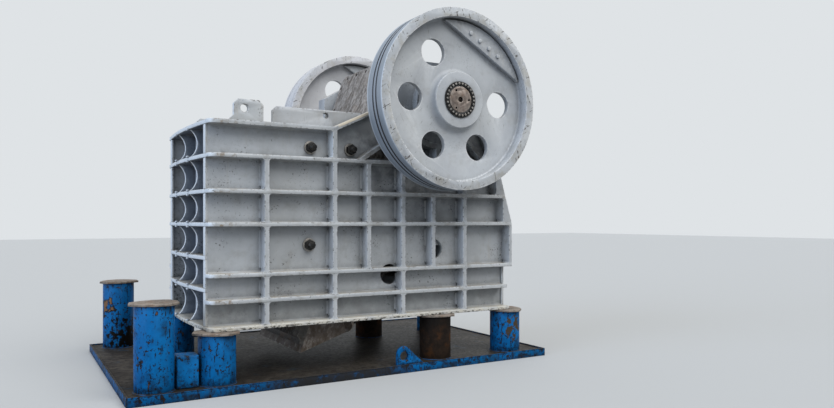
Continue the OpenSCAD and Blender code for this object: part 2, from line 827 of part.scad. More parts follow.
// Places of the posts: four blue and two rusty ones under the bottom flanges, two tall ones in front
deck = base_h - 12;
rim_w = 22;
short_x = [80, frame_l];
short_places = [for (x = short_x, y = [-wall_y - 60, wall_y + 60]) [x, y]];
rusty_places = [for (y = [-wall_y - 35, wall_y + 35]) [beam_x + beam_l / 2 + 20, y]];
tall_places = [[base_front + 273, 225 - base_near], [base_front + 305, base_far - 255]];
square_place = [base_front + 458, near_deck - base_near];
square_w = 204;
square_h = 293;

module posts(places, h) {
    for (p = places) translate([p[0], p[1], deck - lift]) cylinder(d = post_d, h = h + base_h - deck);
}

module short_posts() {
    color(blue) place() posts(short_places, post_h);
}

module rusty_posts() {
    color(rust) place() posts(rusty_places, post_h);
}

module tall_posts() {
    color(blue) place() posts(tall_places, tall_post_h);
}

module square_post() {
    color(blue) place() translate([square_place[0], square_place[1], deck - lift])
        cube([square_w, square_w, square_h + base_h - deck]);
}

// Flame cut cap plates: uneven many sided outlines
module cap(p, h, turn) {
    n = 10;
    pts = [for (i = [0:n - 1]) let (q = post_d / 2 * (1.22 + 0.13 * sin(i * 97)), a = i * 360 / n)
        [q * cos(a), q * sin(a)]];
    translate([p[0], p[1], base_h + h - lift]) rotate(turn) linear_extrude(cap_t) polygon(pts);
}

module post_caps() {
    color(rust) place() {
        for (i = [0:3]) cap(short_places[i], post_h, i * 50);
        for (i = [0:1]) cap(rusty_places[i], post_h, i * 70 + 20);
        for (i = [0:1]) cap(tall_places[i], tall_post_h, i * 40 + 10);
    }
}

// Round lifting eye with a sloped tail on the base's near edge
stand_lug_x = 1948;
stand_lug_t = 40;
stand_lug_r = 85;
stand_lug_h = 120;
stand_lug_tail = 335;
stand_eye_r = 50;
stand_eye_drop = 20;
module stand_lug() {
    r = stand_lug_r;
    y = rim_w + 8 - base_near;
    color(blue) place() span_y(y, y + stand_lug_t) translate([stand_lug_x, deck - lift]) difference() {
        union() {
            square([2 * r, stand_lug_h]);
            translate([r, stand_lug_h]) circle(r);
            polygon([[2 * r, 0], [stand_lug_tail, 0], [2 * r, stand_lug_h + 30], [r + 30, stand_lug_h + 74]]);
        }
        translate([r, stand_lug_h - stand_eye_drop]) circle(stand_eye_r);
    }
}

stand_base();
stand_rim();
stand_lug();
short_posts();
rusty_posts();
tall_posts();
square_post();
post_caps();
side_wall(-1);  // side_wall_near
side_wall(1);  // side_wall_far
side_ribs(-1);  // side_ribs_near
side_ribs(1);  // side_ribs_far
side_posts(-1);  // side_posts_near
side_posts(1);  // side_posts_far
side_flange(-1);  // side_flange_near
side_flange(1);  // side_flange_far
front_wall();
front_ribs();
front_posts();
rear_wall();
toggle_beam();
toggle_seat();
toggle_plate();
tension_rods();
tension_springs();
bearing_housing(-1);  // bearing_housing_near
bearing_housing(1);  // bearing_housing_far
lifting_lug(-1);  // lifting_lug_near
lifting_lug(1);  // lifting_lug_far
cheek_plates(-1);  // cheek_plates_near
cheek_plates(1);  // cheek_plates_far
liner_bolts(-1);  // liner_bolts_near
liner_bolts(1);  // liner_bolts_far
fixed_jaw();
eccentric_shaft();
flywheel(-1);  // flywheel_near
flywheel(1);  // flywheel_far
counterweights(-1);  // counterweights_near
counterweights(1);  // counterweights_far
locking_ring(-1);  // locking_ring_near
locking_ring(1);  // locking_ring_far
pitman();
moving_jaw();
jaw_wedge();
pitman_seat();
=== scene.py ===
import math

import bmesh
import bpy
from mathutils import Matrix, Vector


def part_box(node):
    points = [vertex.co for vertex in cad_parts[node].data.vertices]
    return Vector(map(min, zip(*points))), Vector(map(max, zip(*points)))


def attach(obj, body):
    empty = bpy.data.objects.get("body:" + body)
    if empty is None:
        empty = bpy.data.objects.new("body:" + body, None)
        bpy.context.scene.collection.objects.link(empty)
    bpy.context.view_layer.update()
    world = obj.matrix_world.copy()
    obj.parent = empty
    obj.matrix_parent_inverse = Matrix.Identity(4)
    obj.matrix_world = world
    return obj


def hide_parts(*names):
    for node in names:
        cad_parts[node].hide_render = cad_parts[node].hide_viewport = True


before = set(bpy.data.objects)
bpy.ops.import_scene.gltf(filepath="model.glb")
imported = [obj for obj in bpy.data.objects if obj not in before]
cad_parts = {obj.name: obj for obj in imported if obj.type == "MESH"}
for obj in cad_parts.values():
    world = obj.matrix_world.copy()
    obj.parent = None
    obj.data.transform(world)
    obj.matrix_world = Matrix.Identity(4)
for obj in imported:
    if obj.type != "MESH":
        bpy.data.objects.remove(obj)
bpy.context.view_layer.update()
print("loaded", len(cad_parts), "nodes")

# The machine's own zero, in m: the side walls' front edges, the middle plane and the underside
machineAt = (-1.605, -0.265, 0.577)


# A place on the machine, given in mm from its zero
def spot(x, y, z):
    return Vector([mm / 1000 + zero for mm, zero in zip((x, y, z), machineAt)])


shaftAt = spot(2538, 0, 2365)


def srgb(code):
    parts = [int(code[i:i + 2], 16) / 255 for i in (1, 3, 5)]
    return (*[c / 12.92 if c <= 0.04045 else ((c + 0.055) / 1.055) ** 2.4 for c in parts], 1)


def addNode(tree, kind, inputs=None, **settings):
    node = tree.nodes.new(kind)
    for name, value in settings.items():
        setattr(node, name, value)
    for key, value in (inputs or {}).items():
        if isinstance(value, bpy.types.NodeSocket):
            tree.links.new(value, node.inputs[key])
        else:
            node.inputs[key].default_value = value
    return node


def startFinish(name, roughness, metallic, sheen, colour):
    finish = bpy.data.materials.new(name)
    finish.use_nodes = True
    tree = finish.node_tree
    tree.nodes.clear()
    shader = addNode(tree, "ShaderNodeBsdfPrincipled", {
        "Base Color": srgb(colour), "Roughness": roughness, "Metallic": metallic,
        "Specular IOR Level": sheen})
    addNode(tree, "ShaderNodeOutputMaterial", {0: shader.outputs[0]})
    addNode(tree, "ShaderNodeTexCoord", name="place")
    return finish, tree, shader


# One colour over another, as strong as all the masks together
def layOver(tree, under, top, *masks):
    mask = masks[0]
    for other in masks[1:]:
        mask = addNode(tree, "ShaderNodeMath", {0: mask, 1: other}, operation="MULTIPLY").outputs[0]
    low, high = [srgb(colour) if isinstance(colour, str) else colour for colour in (under, top)]
    return addNode(tree, "ShaderNodeMix", {0: mask, 6: low, 7: high}, data_type="RGBA").outputs[2]


# One more coat over the colour that a finish has so far
def coat(tree, top, *masks):
    skin = tree.nodes["Principled BSDF"].inputs["Base Color"]
    under = skin.links[0].from_socket if skin.is_linked else skin.default_value[:]
    tree.links.new(layOver(tree, under, top, *masks), skin)


# Soft edged patches of about the given size in mm, 0 outside and up to strength inside
def patches(tree, size, low, high, strength=1.0, detail=5, tall=1, shift=0, turn=0):
    moved = addNode(tree, "ShaderNodeMapping", {
        "Vector": tree.nodes["place"].outputs["Object"], "Scale": (1, 1, tall), "Location": (shift, shift, 0),
        "Rotation": (0, math.radians(turn), 0)}, vector_type="TEXTURE").outputs[0]
    noise = addNode(tree, "ShaderNodeTexNoise", {
        "Vector": moved, "Scale": 1000 / size, "Detail": detail, "Roughness": 0.6}).outputs[0]
    return addNode(tree, "ShaderNodeMapRange", {
        "Value": noise, "From Min": low, "From Max": high, "To Max": strength},
        interpolation_type="SMOOTHSTEP").outputs[0]


# 1 along edges and 0 on the flats
def nearEdges(tree, reach):
    rounded = addNode(tree, "ShaderNodeBevel", {"Radius": reach / 1000}, samples=6).outputs[0]
    flat = addNode(tree, "ShaderNodeNewGeometry").outputs["True Normal"]
    match = addNode(tree, "ShaderNodeVectorMath", {0: rounded, 1: flat}, operation="DOT_PRODUCT")
    return addNode(tree, "ShaderNodeMapRange", {
        "Value": match.outputs["Value"], "From Min": 0.995, "From Max": 0.9}).outputs[0]


# 1 in inside corners and 0 in the open
def inCorners(tree, reach):
    openness = addNode(tree, "ShaderNodeAmbientOcclusion", {"Distance": reach / 1000}, samples=6)
    return addNode(tree, "ShaderNodeMapRange", {
        "Value": openness.outputs["AO"], "From Min": 0.95, "From Max": 0.3}).outputs[0]


# 0 before low and 1 past high along one axis, or the other way round when low is the larger
def along(tree, axis, low, high):
    value = addNode(tree, "ShaderNodeSeparateXYZ", {0: tree.nodes["place"].outputs["Object"]}).outputs[axis]
    return addNode(tree, "ShaderNodeMapRange", {"Value": value, "From Min": low, "From Max": high}).outputs[0]


# 1 on faces that look along the direction
def facing(tree, direction, low=0.5, high=0.8):
    normal = addNode(tree, "ShaderNodeNewGeometry").outputs["True Normal"]
    match = addNode(tree, "ShaderNodeVectorMath", {0: normal, 1: direction}, operation="DOT_PRODUCT")
    return addNode(tree, "ShaderNodeMapRange", {
        "Value": match.outputs["Value"], "From Min": low, "From Max": high}).outputs[0]


# 0 past its reach from one place, and 1 within full
def closeTo(tree, at, reach, full):
    place = tree.nodes["place"].outputs["Object"]
    off = addNode(tree, "ShaderNodeVectorMath", {0: place, 1: at}, operation="DISTANCE").outputs["Value"]
    return addNode(tree, "ShaderNodeMapRange", {"Value": off, "From Min": reach, "From Max": full}).outputs[0]


# A ramp over the distance from the shaft's middle line
def roundShaft(tree, low, high):
    place = tree.nodes["place"].outputs["Object"]
    off = addNode(tree, "ShaderNodeVectorMath", {0: place, 1: shaftAt}, operation="SUBTRACT").outputs[0]
    flat = addNode(tree, "ShaderNodeVectorMath", {0: off, 1: (1, 0, 1)}, operation="MULTIPLY").outputs[0]
    radius = addNode(tree, "ShaderNodeVectorMath", {0: flat}, operation="LENGTH")
    return addNode(tree, "ShaderNodeMapRange", {
        "Value": radius.outputs["Value"], "From Min": low, "From Max": high}).outputs[0]


# A ramp over the distance to either side of an upright plane at y
def besidePlane(tree, y, low, high):
    across = addNode(tree, "ShaderNodeSeparateXYZ", {0: tree.nodes["place"].outputs["Object"]}).outputs["Y"]
    off = addNode(tree, "ShaderNodeMath", {0: across, 1: y}, operation="SUBTRACT").outputs[0]
    off = addNode(tree, "ShaderNodeMath", {0: off}, operation="ABSOLUTE").outputs[0]
    return addNode(tree, "ShaderNodeMapRange", {"Value": off, "From Min": low, "From Max": high}).outputs[0]


# Grain in mm for the surface's bumps, which also vary its roughness from low to high
def roughen(tree, shader, grain, height, low, high):
    noise = addNode(tree, "ShaderNodeTexNoise", {
        "Vector": tree.nodes["place"].outputs["Object"], "Scale": 1000 / grain, "Detail": 6,
        "Roughness": 0.65}).outputs[0]
    gloss = addNode(tree, "ShaderNodeMapRange", {
        "Value": noise, "From Min": 0.3, "From Max": 0.7, "To Min": low, "To Max": high})
    tree.links.new(gloss.outputs[0], shader.inputs["Roughness"])
    bump = addNode(tree, "ShaderNodeBump", {"Height": noise, "Strength": 1.0, "Distance": height / 1000})
    tree.links.new(bump.outputs[0], shader.inputs["Normal"])


# Where the plates carry marks of their own, in m
markAt = {"cells": (0.93, 0.80), "oil": (1.42, 1.02), "oilAndShadowTop": (2.72, 2.52), "flange": (0.62, 0.615),
          "cutEdge": (0.606, 0.592), "corner": (-1.32, -1.42), "cornerEnd": (-1.6, -1.56),
          "splash": (0.34, 0.08)}
scratches = ((13, 38, 17), (11, -24, 19), (12, 4, 27))  # width in mm, turn in degrees, shift


# Air dried satin enamel sprayed on welded plate: a cool grey that is dusty on top, grubby in the corners with
# dirt and painted shade, chipped along its edges and lighter along them with rubbed paint and a painted
# highlight, scratched in handling and peppered with grinding specks
def enamelOnPlate(name, look):
    finish, tree, shader = startFinish(name, 0.45, 0, look.get("sheen", 0.4), look["paint"])
    coat(tree, look["faded"], patches(tree, 380, 0.38, 0.64))
    coat(tree, look["grime"], patches(tree, 170, 0.5, 0.72, look["dirt"], detail=8, shift=3))
    coat(tree, look["dust"], patches(tree, 45, 0.56, 0.8, look["dirt"] * 0.7, tall=10, shift=7))
    # faces looking toward −X take the front colour: a painted highlight of the light from the left
    if "front" in look:
        coat(tree, look["front"], facing(tree, (-1, 0, 0), *look.get("frontFrom", (0.35, 0.7))))
    # faces looking down take the under colour: painted shade
    if "under" in look:
        coat(tree, look["under"], facing(tree, (0, 0, -1)))
    for at, reach in look.get("spattered", ()):
        # dark drops thrown on the wall round one place
        coat(tree, look["chip"], closeTo(tree, at, reach, reach * 0.3),
             patches(tree, 24, 0.6, 0.66, 0.6, detail=3, shift=57))
    coat(tree, look["chip"], patches(tree, 22, 0.57, 0.61, 0.85, detail=8),
         patches(tree, 240, 0.56, 0.62, look["specks"], shift=11))
    for width, turn, shift in scratches:
        coat(tree, look["chip"],
             patches(tree, width, 0.69, 0.72, look["scratched"], detail=2, tall=9, shift=shift, turn=turn),
             patches(tree, 340, 0.48, 0.6, shift=shift))
    coat(tree, look["dust"], facing(tree, (0, 0, 1)), patches(tree, 90, 0.3, 0.62, look["settled"], shift=2))
    # inside corners darkened: dirt and painted shade
    coat(tree, look["soot"], inCorners(tree, 80), patches(tree, 60, 0.2, 0.55, look["corners"], shift=5))
    if "muddy" in look:
        # the lowest row of cells is painted darker in patches: painted shade where less light reaches it
        coat(tree, look["muddy"], along(tree, "Z", *markAt["cells"]),
             patches(tree, 220, 0.2, 0.62, 0.45, shift=55))
    if "oiled" in look:
        # oil thrown off the wheel and a painted shadow of the wheel darken the plate close under it
        coat(tree, look["oiled"], roundShaft(tree, *markAt["oil"]), along(tree, "Z", *markAt["oilAndShadowTop"]),
             patches(tree, 160, 0.3, 0.62, 0.72, detail=10, shift=45))
    if "stained" in look:
        # brown handling stains near the front corners of the rib lips
        coat(tree, look["stained"], along(tree, "X", *markAt["corner"]),
             along(tree, "X", *markAt["cornerEnd"]), patches(tree, 60, 0.48, 0.6, 0.75, detail=8, shift=31))
    if "ragged" in look:
        # the lowest flange is cream with overspray, and its cut lower edge is darker in torn patches
        coat(tree, look["ragged"], along(tree, "Z", *markAt["flange"]),
             patches(tree, 200, 0.25, 0.6, 0.9, shift=13))
        coat(tree, look["chip"], along(tree, "Z", *markAt["cutEdge"]),
             patches(tree, 40, 0.5, 0.56, detail=8, tall=0.5, shift=15))
    # edges lighter: rubbed paint and a painted highlight together, as on the wheels' bright hole rims
    edge = nearEdges(tree, 12)
    coat(tree, look["bright"], edge, patches(tree, 50, 0.35, 0.6, look["edgeBrightening"], shift=4))
    coat(tree, look["chip"], edge, patches(tree, 34, 0.54, 0.6, look["worn"], detail=8, shift=9))
    if "chips" in look:
        # larger chips down to primer and steel: dark islands, slits and scars, rust brown inside the biggest
        where = patches(tree, 240, 0.32, 0.52, look["chips"], shift=23)
        coat(tree, look["chip"], patches(tree, 36, 0.585, 0.605, 0.95, detail=4, shift=21), where)
        coat(tree, look["chip"], patches(tree, 27, 0.61, 0.63, 0.95, detail=4, tall=5, shift=25), where)
        coat(tree, look["primer"], patches(tree, 36, 0.67, 0.69, 0.8, detail=4, shift=21), where)
        coat(tree, look["chip"], patches(tree, 90, 0.645, 0.66, 0.95, detail=7, tall=1.6, shift=29))
        coat(tree, look["primer"], patches(tree, 90, 0.68, 0.695, 0.9, detail=7, tall=1.6, shift=29))
        coat(tree, look["chip"], along(tree, "Z", *markAt["splash"]),
             patches(tree, 70, 0.46, 0.62, 0.8, detail=8, shift=47))
    for at, reach, code in look.get("marks", ()):
        # a burn or scrape of its own at one place, with a torn outline
        torn = addNode(tree, "ShaderNodeMath", {
            0: closeTo(tree, at, reach, 0), 1: patches(tree, 75, 0.3, 0.7, detail=8, shift=49)},
            operation="ADD")
        coat(tree, code, addNode(tree, "ShaderNodeMapRange", {
            "Value": torn.outputs[0], "From Min": 1.03, "From Max": 1.1}).outputs[0])
    roughen(tree, shader, 30, 0.5, 0.38, 0.62)
    return finish


# The grey enamel of the walls, and what differs on the posts, the flanges and the rest of the frame
plateLook = {
    "soot": "#5a5c5f", "paint": "#aeb2b6", "faded": "#a5a9ad", "grime": "#85837f", "dust": "#a49d91",
    "chip": "#46423d", "bright": "#cdd1d4", "dirt": 0.4, "specks": 0.9, "settled": 0.6, "corners": 0.6,
    "edgeBrightening": 0.7, "worn": 0.8, "scratched": 0.3, "oiled": "#54565a"}
framePaint = enamelOnPlate("greyEnamelOnPlate", {
    **plateLook, "front": "#c9d2da", "muddy": "#626463",
    "spattered": (((-1.45, -1.08, 2.12), 0.26), ((-1.35, -1.08, 1.80), 0.36), ((-0.62, -1.08, 2.08), 0.2),
                  ((-0.42, -1.08, 1.76), 0.2), ((-0.12, -1.08, 2.10), 0.26))})
postPaint = enamelOnPlate("greyEnamelOnPosts", {
    **plateLook, "paint": "#b3b7bb", "faded": "#a9adb1", "grime": "#898782", "dust": "#a39c90",
    "bright": "#cfd3d6", "dirt": 0.55, "specks": 0.6, "edgeBrightening": 0.8, "worn": 1.0, "scratched": 0.5})
flangeLook = {
    **plateLook, "soot": "#66635f", "paint": "#b6babd", "faded": "#abafb2", "grime": "#8d8a84",
    "dust": "#aaa294", "chip": "#3f3a34", "bright": "#d2d4d5", "dirt": 0.7, "settled": 0.85, "corners": 0.5,
    "edgeBrightening": 0.8, "worn": 1.0, "scratched": 0.6, "front": "#d8e0e7", "stained": "#7f6f5a",
    "oiled": "#66635f"}
flangePaint = enamelOnPlate("greyEnamelOnFlanges", {**flangeLook, "ragged": "#c6c2b6"})
frontRibPaint = enamelOnPlate("greyEnamelOnFrontRibs", {
    **flangeLook, "ragged": "#c6c2b6", "under": "#565d68"})
# The front bays take the grey enamel painted darker and bluer: painted shade of the deep bays
bayPaint = enamelOnPlate("shadedGreyEnamelInFrontBays", {
    "soot": "#3f434a", "paint": "#838c98", "faded": "#747d89", "grime": "#46494e", "dust": "#85817a",
    "chip": "#2b2b29", "bright": "#b9c0c8", "dirt": 0.5, "specks": 0.8, "settled": 0.6, "corners": 0.5,
    "edgeBrightening": 0.4, "worn": 0.6, "scratched": 0.5})
# The scallops are painted darker in the same way, painted shade, and their lips looking toward −X take a
# painted highlight
scallopPaint = enamelOnPlate("shadedGreyEnamelOnScallops", {
    "soot": "#454a52", "paint": "#848d9a", "faded": "#77808c", "grime": "#4d5056", "dust": "#85817a",
    "chip": "#33312e", "bright": "#e6ebf0", "dirt": 0.6, "specks": 0.7, "settled": 0.5, "corners": 0.5,
    "edgeBrightening": 1.0, "worn": 0.4, "scratched": 0.3, "front": "#e4ebf1", "frontFrom": (0.05, 0.3)})
guardPaint = enamelOnPlate("greyEnamelOnLiners", {
    "soot": "#66635f", "paint": "#b0b3b6", "faded": "#a6a8aa", "grime": "#8e8b87", "dust": "#a39c92",
    "chip": "#4a433c", "bright": "#c6c8ca", "dirt": 0.3, "specks": 0.7, "settled": 0.6, "corners": 0.5,
    "edgeBrightening": 0.6, "worn": 0.6, "scratched": 0.4})
# Weld metal under the same enamel, duller and dirtier than the plate
weldMetal = enamelOnPlate("greyEnamelOnWeld", {
    "soot": "#66635f", "paint": "#a7abaf", "faded": "#9b9fa3", "grime": "#7c7870", "dust": "#958c7f",
    "chip": "#4b463f", "bright": "#c3c6c8", "dirt": 0.7, "specks": 0.8, "settled": 0.5, "corners": 0.5,
    "edgeBrightening": 0.2, "worn": 0.3, "scratched": 0})
# The front's welds are painted darker, painted shade of the bays, with a painted highlight on faces toward −X
frontWeldPaint = enamelOnPlate("shadedGreyEnamelOnFrontWeld", {
    "soot": "#3a3e44", "paint": "#8d959f", "faded": "#7b838d", "grime": "#55585c", "dust": "#85817a",
    "chip": "#33312e", "bright": "#d5dde4", "dirt": 0.6, "specks": 0.6, "settled": 0.5, "corners": 0.4,
    "edgeBrightening": 0.5, "worn": 0.3, "scratched": 0, "front": "#ccd4dc"})

# The slope's outer lip was ground after painting: a bare tan stripe on the same flange
slopeLip = {"across": (-0.4222, 0, 0.9065), "lip": (2.487, 2.493), "front": (-0.30, -0.28),
            "rear": (0.3, 0.28), "ground": "#e0d3bc"}
slopePaint = enamelOnPlate("greyEnamelOnSlope", flangeLook)
tree = slopePaint.node_tree
upSlope = addNode(tree, "ShaderNodeVectorMath", {
    0: tree.nodes["place"].outputs["Object"], 1: slopeLip["across"]}, operation="DOT_PRODUCT")
onLip = addNode(tree, "ShaderNodeMapRange", {
    "Value": upSlope.outputs["Value"], "From Min": slopeLip["lip"][0], "From Max": slopeLip["lip"][1]})
coat(tree, slopeLip["ground"], onLip.outputs[0], along(tree, "X", *slopeLip["front"]),
     along(tree, "X", *slopeLip["rear"]), patches(tree, 90, 0.26, 0.4, 0.95, shift=33))

# Blue enamel of the stand's pipes, chipped and scraped, with its burns and scrapes: place, reach and colour
standBlue = enamelOnPlate("blueEnamelOnPlate", {
    "soot": "#0c1c2b", "paint": "#0568aa", "faded": "#03558f", "grime": "#0d3252", "dust": "#34516b",
    "chip": "#14120f", "bright": "#1c79bb", "dirt": 0.7, "specks": 1.0, "settled": 0.5, "corners": 0.8,
    "edgeBrightening": 0.5, "worn": 1.0, "scratched": 0.95, "sheen": 0.12, "chips": 1.0, "primer": "#654a38",
    "marks": (((-1.94, 1.29, 0.17), 0.50, "#100f0e"), ((-2.225, 1.345, 0.59), 0.19, "#14120f"),
              ((-2.225, 1.345, 0.60), 0.12, "#76583f"), ((1.97, -1.335, 0.40), 0.17, "#42382d"),
              ((1.89, -1.345, 0.32), 0.16, "#42382d"))})
print("painted finishes made")

# The wheels: where their faces and rims start from the shaft in m, and where the grooves lie from the middle
wheelLook = {
    "soot": "#5f6164", "paint": "#b7bbbf", "faded": "#adb1b6", "grime": "#8f8e8a", "dust": "#a29f96",
    "chip": "#423e3a", "bright": "#e2e4e5", "dirt": 0.3, "specks": 0.3, "settled": 0.3, "corners": 0.7,
    "edgeBrightening": 1.0, "worn": 0.45, "scratched": 0.5, "rimFace": (0.872, 0.885), "rim": (0.962, 0.970),
    "turned": "#a7b0ba", "turnedDark": "#828b95", "groove": "#26262a", "grooveAt": 0.034,
    "grooveHalf": (0.0165, 0.0145), "grooveDeep": (0.955, 0.958), "rimEdge": "#c5cdd5",
    "edgeHalf": (0.03, 0.012), "shine": 0.35}
gouges = ((62, 41), (-15, 43))  # turn in degrees, shift


# The wheels' enamel with what a turned casting leaves: a bare machined rim and a dustier, gouged rim face
def wheelEnamel(name, look):
    finish = enamelOnPlate(name, look)
    tree = finish.node_tree
    near, far = facing(tree, (0, -1, 0), 0.6), facing(tree, (0, 1, 0), 0.6)
    sides = addNode(tree, "ShaderNodeMath", {0: far, 1: near}, operation="ADD").outputs[0]
    onRimFace = roundShaft(tree, *look["rimFace"])
    coat(tree, look["dust"], onRimFace, sides, patches(tree, 120, 0.46, 0.66, 0.55, detail=8, shift=6))
    for turn, shift in gouges:
        coat(tree, look["chip"], patches(tree, 19, 0.64, 0.67, 0.9, detail=3, tall=5, shift=shift, turn=turn),
             onRimFace)
    # fine turning lines run round the rim
    across = addNode(tree, "ShaderNodeSeparateXYZ", {0: tree.nodes["place"].outputs["Object"]}).outputs["Y"]
    lines = addNode(tree, "ShaderNodeTexNoise", {"W": across, "Scale": 700, "Detail": 3},
                    noise_dimensions="1D").outputs[0]
    turned = layOver(tree, look["turned"], look["turnedDark"], lines)
    turned = layOver(tree, turned, look["dust"], patches(tree, 150, 0.55, 0.75, 0.4, detail=8, shift=8))
    grooves = 0
    for wheel in ("flywheel_near", "flywheel_far"):
        low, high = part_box(wheel)
        middle = (low[1] + high[1]) / 2
        for groove in (middle - look["grooveAt"], middle + look["grooveAt"]):
            inside = besidePlane(tree, groove, *look["grooveHalf"])
            grooves = addNode(tree, "ShaderNodeMath", {0: grooves, 1: inside}, operation="MAXIMUM").outputs[0]
        for rimEdge in (low[1], high[1]):
            turned = layOver(tree, turned, look["rimEdge"], besidePlane(tree, rimEdge, *look["edgeHalf"]))
    outer = addNode(tree, "ShaderNodeMath", {0: 1.0, 1: sides}, operation="SUBTRACT").outputs[0]
    bare = addNode(tree, "ShaderNodeMath", {0: roundShaft(tree, *look["rim"]), 1: outer},
                   operation="MULTIPLY").outputs[0]
    coat(tree, turned, bare)
    # the grooves' deep bottoms take the groove colour, near black on the near wheel: painted shade
    coat(tree, look["groove"], grooves, roundShaft(tree, *look["grooveDeep"]))
    shine = addNode(tree, "ShaderNodeMath", {0: bare, 1: look["shine"]}, operation="MULTIPLY")
    tree.links.new(shine.outputs[0], tree.nodes["Principled BSDF"].inputs["Metallic"])
    return finish


wheelPaint = wheelEnamel("greyEnamelOnTurnedWheel", wheelLook)
# The plates bolted to the wheels are painted darker: painted shade cast by the rim
weightPaint = enamelOnPlate("shadedGreyEnamelOnWeights", {
    **wheelLook, "paint": "#a0a4a9", "faded": "#989ca1", "grime": "#7f7f7d", "dirt": 0.5})
# The far wheel's rim is painted all over, so its bare rim starts past the wheel; its enamel is painted paler
# than the near wheel's: painted light
flatWheelPaint = wheelEnamel("litGreyEnamelOnFlatWheel", {
    **wheelLook, "paint": "#c4c5c9", "faded": "#bbbcc0", "dirt": 0.12, "rim": (3.0, 3.008),
    "groove": "#c4c5c9"})


# Bare iron or steel with the skin that its making left: mottled tones, rust bloom, worn edges, coarse grain
def bareMetal(name, look):
    grain, rough = look["grain"], look["rough"]
    finish, tree, shader = startFinish(name, rough, look["metal"], look.get("sheen", 0.5), look["base"])
    coat(tree, look["second"], patches(tree, grain * 6, 0.35, 0.65, shift=2))
    coat(tree, look["dark"], patches(tree, grain, 0.42, 0.62, 0.6, detail=10))
    coat(tree, look["rust"], patches(tree, grain * 3, 0.5, 0.66, look["rusting"], detail=8, shift=5))
    if "streaks" in look:
        # leaning runs, dark and then pale
        coat(tree, look["dark"],
             patches(tree, 50, 0.49, 0.55, look["streaks"], detail=10, tall=2.2, shift=51, turn=19))
        coat(tree, look["bright"],
             patches(tree, 44, 0.54, 0.66, look["streaks"] * 0.6, detail=10, tall=2, shift=53, turn=19))
    # inside corners darkened: dirt and painted shade
    coat(tree, look["dark"], inCorners(tree, 70), 0.6)
    coat(tree, look["bright"], nearEdges(tree, 6), patches(tree, 40, 0.35, 0.6, look["edgeBrightening"], shift=4))
    # darker above a height: painted shade at the pipes' tops under the frame
    if "darkerFrom" in look:
        coat(tree, look["dark"], along(tree, "Z", *look["darkerFrom"]),
             patches(tree, 90, 0.2, 0.5, 0.9, shift=36))
    # darker and browner below a height: painted shade under the machine
    if "shadeBelowFrom" in look:
        coat(tree, look["lowShade"], along(tree, "Z", *look["shadeBelowFrom"]),
             patches(tree, 130, 0.25, 0.6, 0.85, detail=8, shift=35))
    roughen(tree, shader, grain * 0.35, look["height"], rough - 0.12, rough + 0.12)
    return finish


# Unpainted steel casting: sand cast skin, mottled brown grey
castSteel = bareMetal("sandCastSteel", {
    "base": "#a39d98", "second": "#8e8884", "dark": "#4e4640", "rust": "#80705f", "bright": "#c4c0ba",
    "streaks": 0.75, "grain": 45, "rusting": 0.45, "edgeBrightening": 0.9, "height": 1.2, "rough": 0.62, "metal": 0.25,
    "shadeBelowFrom": (0.78, 0.61), "lowShade": "#4a3d31"})
# Cast manganese steel: blue black skin, brighter where it was ground
manganeseSteel = bareMetal("castManganeseSteel", {
    "base": "#5b5752", "second": "#4a4845", "dark": "#33312f", "rust": "#6b5340", "bright": "#9c9892",
    "grain": 50, "rusting": 0.5, "edgeBrightening": 0.9, "height": 1.0, "rough": 0.6, "metal": 0.3})
# Flame cut plate edge and face: scaled, brown grey, with drag lines down the cut
flameCut = bareMetal("flameCutPlate", {
    "base": "#978c82", "second": "#7f756c", "dark": "#453d37", "rust": "#7b6250", "bright": "#b5aca1",
    "grain": 40, "rusting": 0.7, "edgeBrightening": 0.8, "height": 1.6, "rough": 0.75, "metal": 0, "sheen": 0.25})
# Weathered pipe: brown rust over dark scale, darker towards its top: painted shade under the frame
rustyPipe = bareMetal("rustedPipe", {
    "base": "#2c221b", "second": "#221a16", "dark": "#14110f", "rust": "#462d1a", "bright": "#4c3c2f",
    "grain": 55, "rusting": 0.8, "edgeBrightening": 0.4, "height": 1.0, "rough": 0.8, "metal": 0, "sheen": 0.1,
    "darkerFrom": (0.32, 0.48)})
# Turned shaft steel, oiled and brown with handling
shaftSteel = bareMetal("turnedShaftSteel", {
    "base": "#8c8079", "second": "#786c64", "dark": "#463d38", "rust": "#6f5b4b", "bright": "#c6beb5",
    "grain": 40, "rusting": 0.5, "edgeBrightening": 0.9, "height": 0.15, "rough": 0.45, "metal": 0.55})
# Machined steel seats and rods
groundSteel = bareMetal("machinedSteel", {
    "base": "#8d8a86", "second": "#7a7773", "dark": "#55524e", "rust": "#7d6650", "bright": "#c9c6c1",
    "grain": 60, "rusting": 0.35, "edgeBrightening": 0.8, "height": 0.1, "rough": 0.4, "metal": 0.8})
# Black oxide fasteners and spring steel: oily black, brown where it wears
oxideLook = {
    "base": "#1b1b1c", "second": "#151516", "dark": "#0e0e0e", "rust": "#2a221c", "bright": "#5b5853",
    "grain": 20, "rusting": 0.3, "edgeBrightening": 0.7, "height": 0.15, "rough": 0.42, "metal": 0.6}
blackOxide = bareMetal("blackOxideSteel", oxideLook)
# The liner bolts' washers, which lie closest to the walls, are bright zinc plate under black nuts
zincPlate = {"colour": "#b3aea3", "reach": (0.829, 0.8275)}
zincWasher = bareMetal("zincWasherBlackNut", {**oxideLook, "bright": "#6b6761", "metal": 0.5})
tree = zincWasher.node_tree
coat(tree, zincPlate["colour"], besidePlane(tree, machineAt[1], *zincPlate["reach"]))

